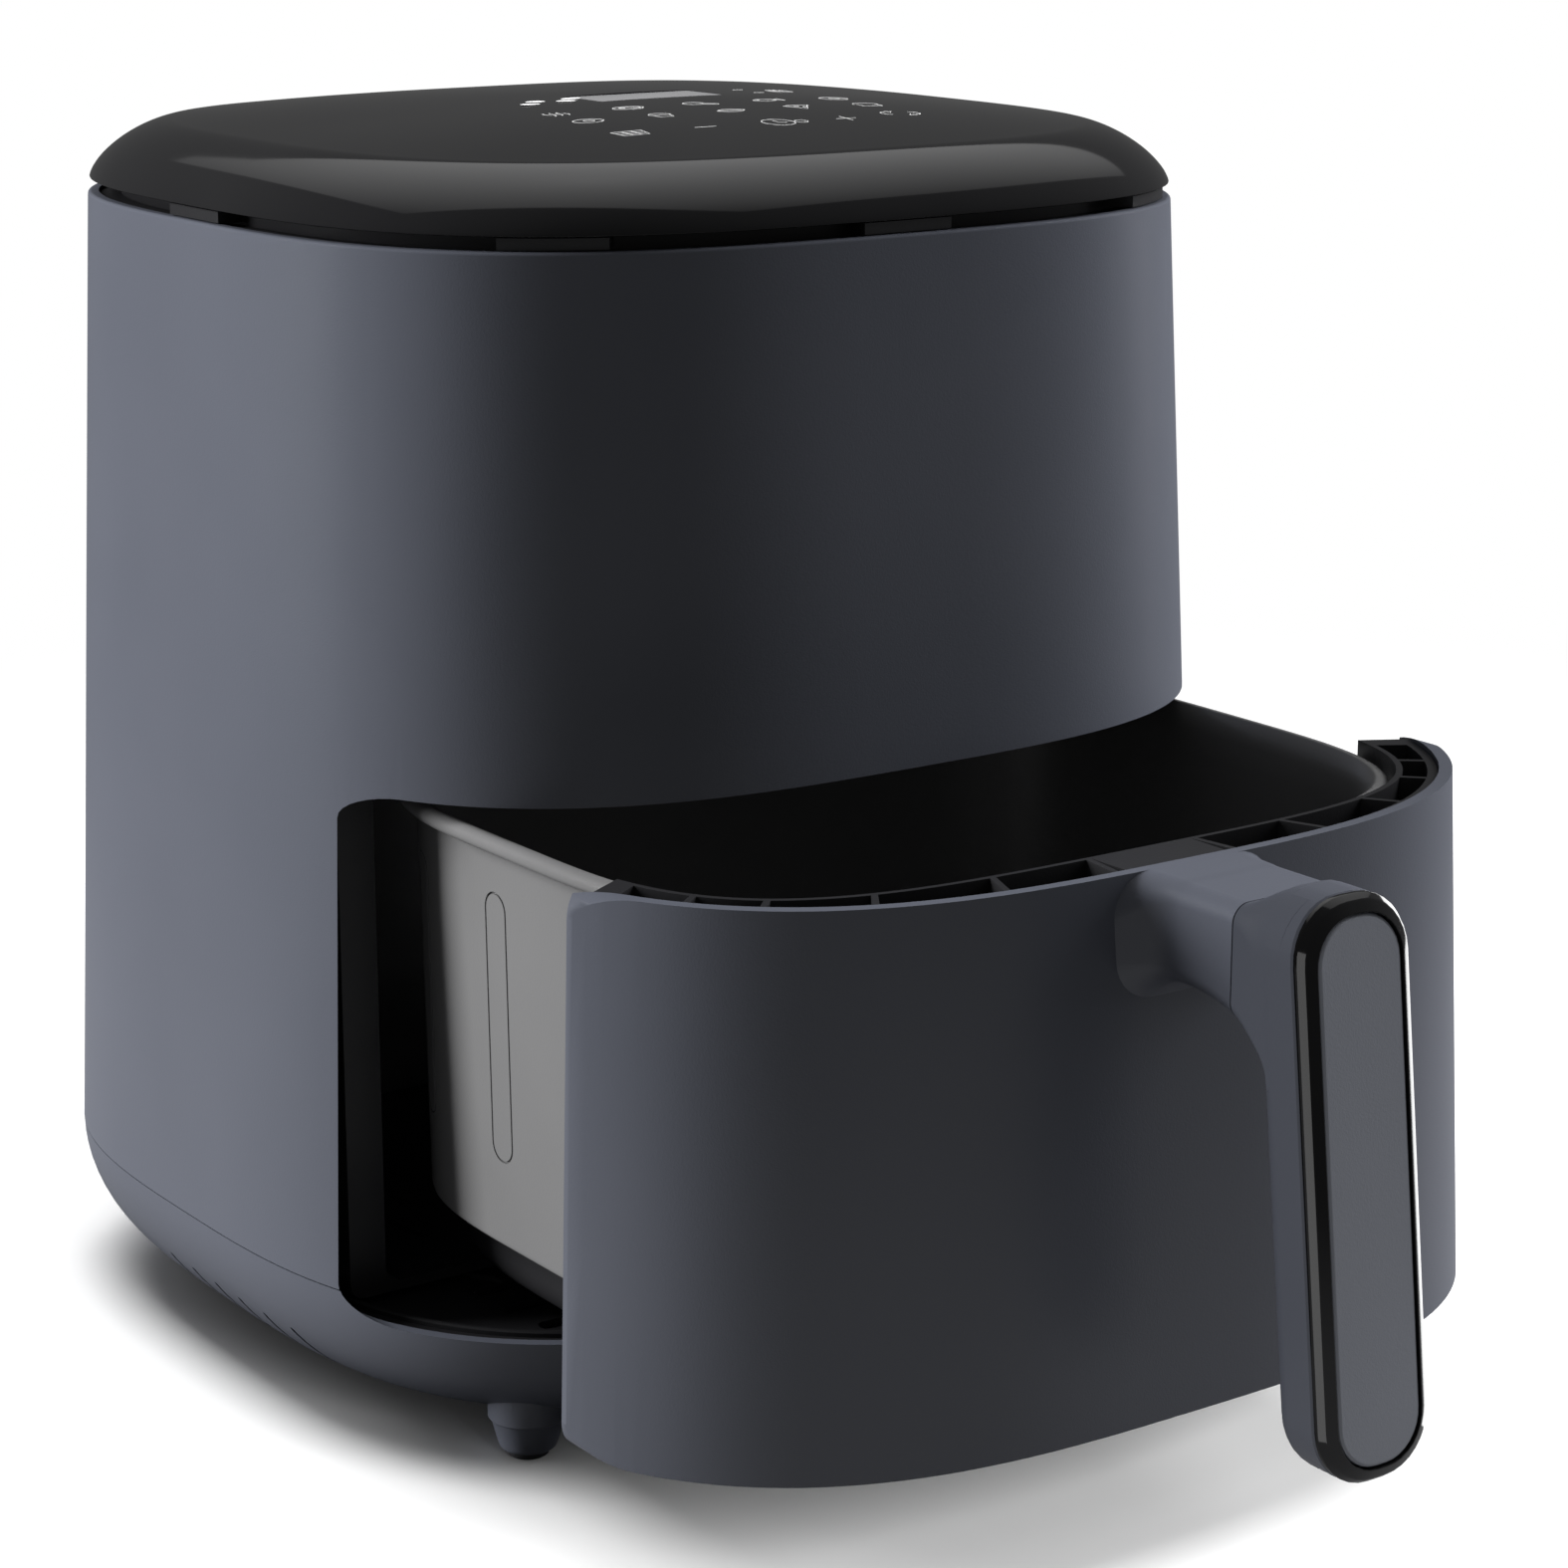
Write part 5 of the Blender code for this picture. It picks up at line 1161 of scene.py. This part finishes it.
magnet_low, magnet_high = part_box("drawer_magnet")
carve(carrier, block("magnet_seat", (magnet_low.x - GAP, magnet_low.y - GAP, FRAME_BOTTOM - 0.01),
                     (magnet_high.x + GAP, magnet_high.y + GAP, magnet_high.z + GAP)))
screw_low, screw_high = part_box("handle_screw_right")
HEAD_DEPTH = 0.006
HEAD_HEIGHT = 0.0022
bore_profile = [(SCREW_HEAD, -0.02), (SCREW_HEAD, HEAD_DEPTH), (SCREW_SHANK, HEAD_DEPTH),
                (SCREW_SHANK, 0.05)]
bores = []
for side in (-1, 1):
    x = side * (screw_low.x + screw_high.x) / 2
    bore = turned("bore", bore_profile, 0.0, 0.0, 32)
    head = Matrix.Translation((x, screw_high.y - HEAD_HEIGHT + HEAD_DEPTH, HANDLE_SCREW_Z))
    bore.data.transform(head @ Matrix.Rotation(math.pi / 2, 4, "X"))
    bores.append(bore)
carve(carrier, joined("bores", bores))
finish(carrier, "drawer", black, "black_plastic", "drawer_frame", edge=0.0003)

# %% [markdown]
# ## The pot
#
# The pot is pressed from coated sheet. Its rim is rolled outwards into a bead, the wall
# tapers down to a skirt, and under the skirt a narrower band rounds into the bottom. Tall
# shallow slots are embossed in the sides, each a fine outline in the coating.

# %% Pot
BEAD = 0.0040
POT_WALL = 0.0025
pot_top, pot_bottom = pot_high.z, pot_low.z
skirt = BEAD + 0.0015
strip = skirt + 0.0065

path = [(pot_bottom + POT_WALL, strip + 0.0220), (pot_bottom + POT_WALL, strip + 0.0150)]
for step in range(1, 9):
    turn = math.pi / 2 * step / 8
    path.append((pot_bottom + POT_WALL + 0.0100 * (1 - math.cos(turn)),
                 strip + 0.0150 - 0.0115 * math.sin(turn)))
path += [(SKIRT_BOTTOM + 0.003, skirt + POT_WALL + 0.0045),
         (SKIRT_BOTTOM + 0.008, skirt + POT_WALL + 0.0014),
         (SKIRT_BOTTOM + 0.014, skirt + POT_WALL + 0.0006), (pot_top - 0.012, BEAD + POT_WALL),
         (pot_top - 0.0060, BEAD + POT_WALL - 0.0006),
         (pot_top - 0.0028, BEAD + 0.0010)]
BEAD_RADIUS = 0.0023
for step in range(15):
    turn = math.radians(115 - 235 * step / 14)
    path.append((pot_top - BEAD_RADIUS + BEAD_RADIUS * math.sin(turn),
                 BEAD_RADIUS * (1 - math.cos(turn))))
path += [(pot_top - 0.0048, BEAD - 0.0006), (pot_top - 0.0056, BEAD),
         (SKIRT_BOTTOM + 0.0016, skirt - 0.0001), (SKIRT_BOTTOM + 0.0004, skirt + 0.0002),
         (SKIRT_BOTTOM, skirt + 0.0009), (SKIRT_BOTTOM, strip - 0.0008), (SKIRT_BOTTOM - 0.0008, strip)]
for step in range(9):
    turn = math.pi / 2 * step / 8
    path.append((pot_bottom + 0.0100 * (1 - math.sin(turn)),
                 strip + 0.0006 + 0.0110 * (1 - math.cos(turn))))
path.append((pot_bottom, strip + 0.0200))
pan = swept("pan", [pot_ring(z, inset) for z, inset in path], (0.0, pot_y), POT_EXPONENT)

# %% [markdown]
# The embossed slots are grooves of the slot's outline. A rounded bar gives the outline, a
# smaller one inside it makes it a frame, and the frame is cut a fraction of a millimetre
# into the wall.

# %% Embossed slots in the pot's sides
SLOT_HALF = 0.0048
SLOT_LOW, SLOT_HIGH = 0.0855, 0.1540
SLOT_OFFSETS = (0.0541, 0.0118, -0.0305)
GROOVE = 0.0006
grooves = []
for offset in SLOT_OFFSETS:
    for side in (-1, 1):
        y = pot_y + offset
        reach = sorted((side * (pot_half - 0.020), side * (pot_half + 0.02)))
        bars = []
        for draw_in in (0.0, GROOVE):
            slot = block("slot", (reach[0], y - SLOT_HALF + draw_in, SLOT_LOW + draw_in),
                         (reach[1], y + SLOT_HALF - draw_in, SLOT_HIGH - draw_in))
            round_edges(slot, lambda e: runs_along(e, 0), SLOT_HALF - draw_in - 0.0001, 8)
            bars.append(slot)
        grooves.append(carve(bars[0], bars[1]))
rings = [(z, inset) for z,
         inset in ((SLOT_LOW - 0.01, skirt + 0.00005), (SLOT_HIGH + 0.01, BEAD + 0.00015))]
core = swept("core", [pot_ring(z, inset) for z, inset in rings], (0.0, pot_y), POT_EXPONENT)
narrower = Matrix.Diagonal((1 - 0.0004 / 0.11, 1.0, 1.0, 1.0))
core.data.transform(Matrix.Translation((0, pot_y, 0)) @ narrower @ Matrix.Translation((0, -pot_y, 0)))
grooves = joined("grooves", grooves)
carve(grooves, core)
carve(pan, grooves)
finish(pan, "drawer", pot_skin, "pot_coating", "pot", angle=40)

# %% [markdown]
# ## The handle
#
# The handle is an upright grip that leans out at its foot. All its layers start as one
# upright block with rounded ends, so that they fit each other, and they get the same lean
# at the end: a shear, which is one number in a matrix. In front a polished frame rises to
# a slate insert. Behind, the grip is rounded off for the fingers.

# %% Handle layers
HANDLE_LEAN = 0.1143
HANDLE_CORNER = 0.0140
HANDLE_DEPTH = 0.0150
HANDLE_REACH = 0.0580
HANDLE_ROUNDING = 0.0050
BEZEL_WIDTH = 0.0037
BEZEL_RISE = 0.0026
BEZEL_SEAT = 0.0012

handle_bottom, handle_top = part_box("handle_bezel")[0].z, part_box("handle_bezel")[1].z
handle_middle = (handle_bottom + handle_top) / 2
face_y = panel_y - HANDLE_REACH
lean = Matrix.Identity(4)
lean[1][2], lean[1][3] = HANDLE_LEAN, -HANDLE_LEAN * handle_middle


def layer(name, path):
    """A layer of the handle through (inset, depth) pairs, upright, then leaned."""
    sections = []
    for inset, depth in path:
        radius = max(HANDLE_CORNER - inset * 0.8, 0.002)
        sections.append((face_y + depth, handle_half - inset, handle_bottom + inset, handle_top - inset,
                         radius))
    piece = bar(name, sections)
    piece.data.transform(lean)
    return piece


frame_path = [(0.0, BEZEL_SEAT), (0.0, 0.0004), (0.0001, 0.0001), (0.0010, -0.0012), (0.0012, -0.0014),
              (0.0015, -0.0016),
              (BEZEL_WIDTH - 0.0003, -BEZEL_RISE), (BEZEL_WIDTH + 0.0002, -BEZEL_RISE),
              (BEZEL_WIDTH + 0.002, -BEZEL_RISE)]
bezel = layer("grip_frame", frame_path)
carve(bezel, layer("hollow", [(BEZEL_WIDTH, BEZEL_SEAT + 0.01), (BEZEL_WIDTH, -BEZEL_RISE - 0.01)]))
finish(bezel, "drawer", gloss, "gloss_black", "handle_bezel", edge=0.0002)

inlay = layer("grip_inlay", [(BEZEL_WIDTH + GAP, BEZEL_SEAT), (BEZEL_WIDTH + GAP, -BEZEL_RISE + 0.0012),
                             (BEZEL_WIDTH + GAP + 0.0003, -BEZEL_RISE + 0.0005),
                             (BEZEL_WIDTH + GAP + 0.0010, -BEZEL_RISE + 0.0001)])
finish(inlay, "drawer", insert_slate, "slate_plastic", "handle_insert")

back_path = [(0.0006, BEZEL_SEAT + GAP), (0.0, BEZEL_SEAT + GAP + 0.0006)]
for step in range(11):
    turn = math.pi / 2 * step / 10
    back_path.append((HANDLE_ROUNDING * (1 - math.cos(turn)),
                      HANDLE_DEPTH * (0.64 + 0.36 * math.sin(turn))))
back = layer("grip", back_path)

# The arm's crest swells to the grip's top, and its sides stay a hair inside the grip's.
reach_y = face_y + HANDLE_DEPTH * 0.35 + HANDLE_LEAN * (NECK_TOP - handle_middle)
heel_y = face_y + HANDLE_DEPTH * 0.64 + HANDLE_LEAN * (NECK_BOTTOM - ARCH_HEIGHT - handle_middle)
crest = handle_top - 0.0001
arm = []
ARM_STEPS = 30
for step in range(ARM_STEPS + 1):
    share = step / ARM_STEPS
    y = neck_y - GAP + (reach_y - neck_y) * share
    swell = min(share / 0.55, 1.0)
    swell = swell * swell * (3 - 2 * swell)
    arm.append((y, handle_half - 0.00005, underside(max(y, heel_y)),
                NECK_TOP + (crest - NECK_TOP) * swell,
                (NECK_CORNER - 0.0020 * swell,
                 NECK_CORNER + (HANDLE_CORNER - 0.0004 - NECK_CORNER) * swell)))
carve(back, bar("arm", arm), operation="UNION")
finish(back, "drawer", slate, "slate_plastic", "handle_grip", edge=0.0004)

# %% [markdown]
# ## The crisper grid
#
# The food lies on a coated plate with slots, which stands on four rubber bumpers. Slots
# have round ends, and the plate's edge is rolled over.

# %% Crisper grid
grid_low, grid_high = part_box("crisper_grid")
grid_half = (grid_high.x - grid_low.x) / 2
grid_inset = pot_half - grid_half
GRID_PITCH = 0.040
GRID_SLOT = 0.013
GRID_SLOT_HALF = 0.0035
rings = [(grid_low.z, grid_inset + 0.0012), (grid_low.z + 0.0004, grid_inset + 0.0003),
         (grid_low.z + 0.0010, grid_inset),
         (grid_high.z - 0.0008, grid_inset), (grid_high.z - 0.0002, grid_inset + 0.0003),
         (grid_high.z, grid_inset + 0.0009)]
plate = swept("crisper_plate", [pot_ring(z, inset) for z, inset in rings], (0.0, pot_y), POT_EXPONENT)
cuts = []
for row in range(-3, 4):
    count = 4 if abs(row) < 3 else 3
    for column in range(count):
        x = (column - (count - 1) / 2) * GRID_PITCH
        y = pot_y + row * GRID_PITCH / 2
        slot = block("slot", (x - GRID_SLOT, y - GRID_SLOT_HALF, grid_low.z - 0.01),
                     (x + GRID_SLOT, y + GRID_SLOT_HALF, grid_high.z + 0.01))
        round_edges(slot, lambda e: runs_along(e, 2), 0.0034, 6)
        cuts.append(slot)
carve(plate, joined("cuts", cuts))
finish(plate, "grid", pot_skin, "pot_coating", "crisper_grid", edge=0.0004)

# %% [markdown]
# # The stage
#
# A plain pale floor carries the shadow. To the camera it is nearly white. For the light it
# bounces it is darker, so that the underside of the body stays deep, as it does on a
# seamless studio table lit from the sides. It fades out well short of its edge.

# %% Floor
FADE_START, FADE_END = 0.42, 0.95
bpy.ops.object.select_all(action="DESELECT")
bpy.ops.mesh.primitive_plane_add(size=14.0, location=(0, 0, -0.0002))
floor = named(bpy.context.object, "studio_floor")
paper = bpy.data.materials.new("studio_paper")
paper.use_nodes = True
tree = paper.node_tree
shader = tree.nodes["Principled BSDF"]
shader.inputs["Roughness"].default_value = 0.9
shader.inputs["Specular IOR Level"].default_value = 0.0
path_kind = tree.nodes.new("ShaderNodeLightPath")
pale = tree.nodes.new("ShaderNodeMix")
pale.data_type = "RGBA"
pale.inputs["A"].default_value = (0.20, 0.20, 0.205, 1.0)
pale.inputs["B"].default_value = (0.95, 0.95, 0.95, 1.0)
tree.links.new(path_kind.outputs["Is Camera Ray"], pale.inputs["Factor"])
tree.links.new(pale.outputs["Result"], shader.inputs["Base Color"])
place = tree.nodes.new("ShaderNodeTexCoord")
away = tree.nodes.new("ShaderNodeVectorMath")
away.operation = "LENGTH"
fade = tree.nodes.new("ShaderNodeMapRange")
fade.interpolation_type = "SMOOTHSTEP"
fade.inputs["From Min"].default_value = FADE_START
fade.inputs["From Max"].default_value = FADE_END
fade.inputs["To Min"].default_value = 1.0
fade.inputs["To Max"].default_value = 0.0
tree.links.new(place.outputs["Object"], away.inputs[0])
tree.links.new(away.outputs["Value"], fade.inputs["Value"])
tree.links.new(fade.outputs["Result"], shader.inputs["Alpha"])
floor.data.materials.append(paper)
print("floor", floor.dimensions.x, "m across")

# %% [markdown]
# ## Light
#
# Tall soft boxes left and right draw the bright flanks, and the front stays dark between
# them. They are hidden from reflections, because satin plastic would show them as streaks.
# The grip has a weaker left box to itself. A large box with a narrow spread hangs over the
# lid and the handle's frame, and shows only as a reflection. The floor has its own two
# boxes, which leave a soft shadow where the feet touch. Two low strips give the handle's
# polished frame its bright edges. The room itself is dim, and dimmer still in reflections.

# %% Soft boxes
def soft_box(name, place, aim, size, power, reflected=False):
    bpy.ops.object.light_add(type="AREA", location=place)
    lamp = bpy.context.object
    lamp.name = name
    lamp.data.shape = "RECTANGLE"
    lamp.data.size, lamp.data.size_y = size
    lamp.data.energy = power
    lamp.rotation_euler = (Vector(aim) - Vector(place)).to_track_quat("-Z", "Y").to_euler()
    lamp.visible_glossy = reflected
    return lamp


def light_for(lamp, pieces, state="INCLUDE", shade=False):
    """Links a light to some pieces only, or to all but them."""
    group = bpy.data.collections.new(lamp.name + "_pieces")
    for piece in pieces:
        group.objects.link(piece)
    for entry in group.collection_objects:
        entry.light_linking.link_state = state
    lamp.light_linking.receiver_collection = group
    if shade:
        lamp.light_linking.blocker_collection = group


middle = (0.0, 0.0, 0.15)
left_box = soft_box("left_box", (-1.60, 1.25, 0.85), middle, (0.8, 1.9), 168)
light_for(left_box, [floor, back, bezel], "EXCLUDE")
grip_box = soft_box("grip_box", (-1.75, 0.20, 0.85), middle, (1.1, 1.9), 44)
light_for(grip_box, [back])
right_box = soft_box("right_box", (1.75, -0.12, 0.75), middle, (0.8, 1.7), 150)
light_for(right_box, [floor], "EXCLUDE")
top_box = soft_box("top_box", (0.1, 0.6, 2.4), middle, (2.6, 2.2), 30)
light_for(top_box, [floor], "EXCLUDE")
floor_box = soft_box("floor_box", (0.0, 0.0, 2.4), (0.0, 0.0, 0.0), (2.2, 2.2), 105)
light_for(floor_box, [floor])
floor_fill = soft_box("floor_fill", (0.2, -1.9, 0.9), (0.0, -0.2, 0.0), (1.6, 0.8), 60)
light_for(floor_fill, [floor])
lid_box = soft_box("lid_box", (0.55, 0.75, 2.15), (0.0, 0.1, 0.33), (3.6, 2.6), 12, True)
lid_box.data.spread = math.radians(100)
lid_box.visible_diffuse = False
light_for(lid_box, [lid, bezel])
for name, place, power in (("left_strip", (-1.10, -0.80, 0.0), 6.5),
                           ("right_strip", (1.30, 0.25, -0.05), 14)):
    strip = soft_box(name, place, (0.0, -0.2, 0.1), (0.8, 1.1), power, True)
    strip.visible_diffuse = False
    light_for(strip, [bezel], shade=True)

world = bpy.context.scene.world or bpy.data.worlds.new("studio")
bpy.context.scene.world = world
world.use_nodes = True
tree = world.node_tree
sky = tree.nodes["Background"]
sky.inputs["Color"].default_value = (1.0, 1.0, 1.0, 1.0)
path_kind = tree.nodes.new("ShaderNodeLightPath")
ROOM_LIGHT = 0.18
LESS_IN_GLOSS = 0.09
MORE_TO_CAMERA = 0.82
in_gloss = maths(tree, "MULTIPLY", path_kind.outputs["Is Glossy Ray"], -LESS_IN_GLOSS)
to_camera = maths(tree, "MULTIPLY", path_kind.outputs["Is Camera Ray"], MORE_TO_CAMERA)
level = maths(tree, "ADD", maths(tree, "ADD", in_gloss, ROOM_LIGHT), to_camera)
tree.links.new(level, sky.inputs["Strength"])
bpy.context.scene.view_settings.view_transform = "Standard"
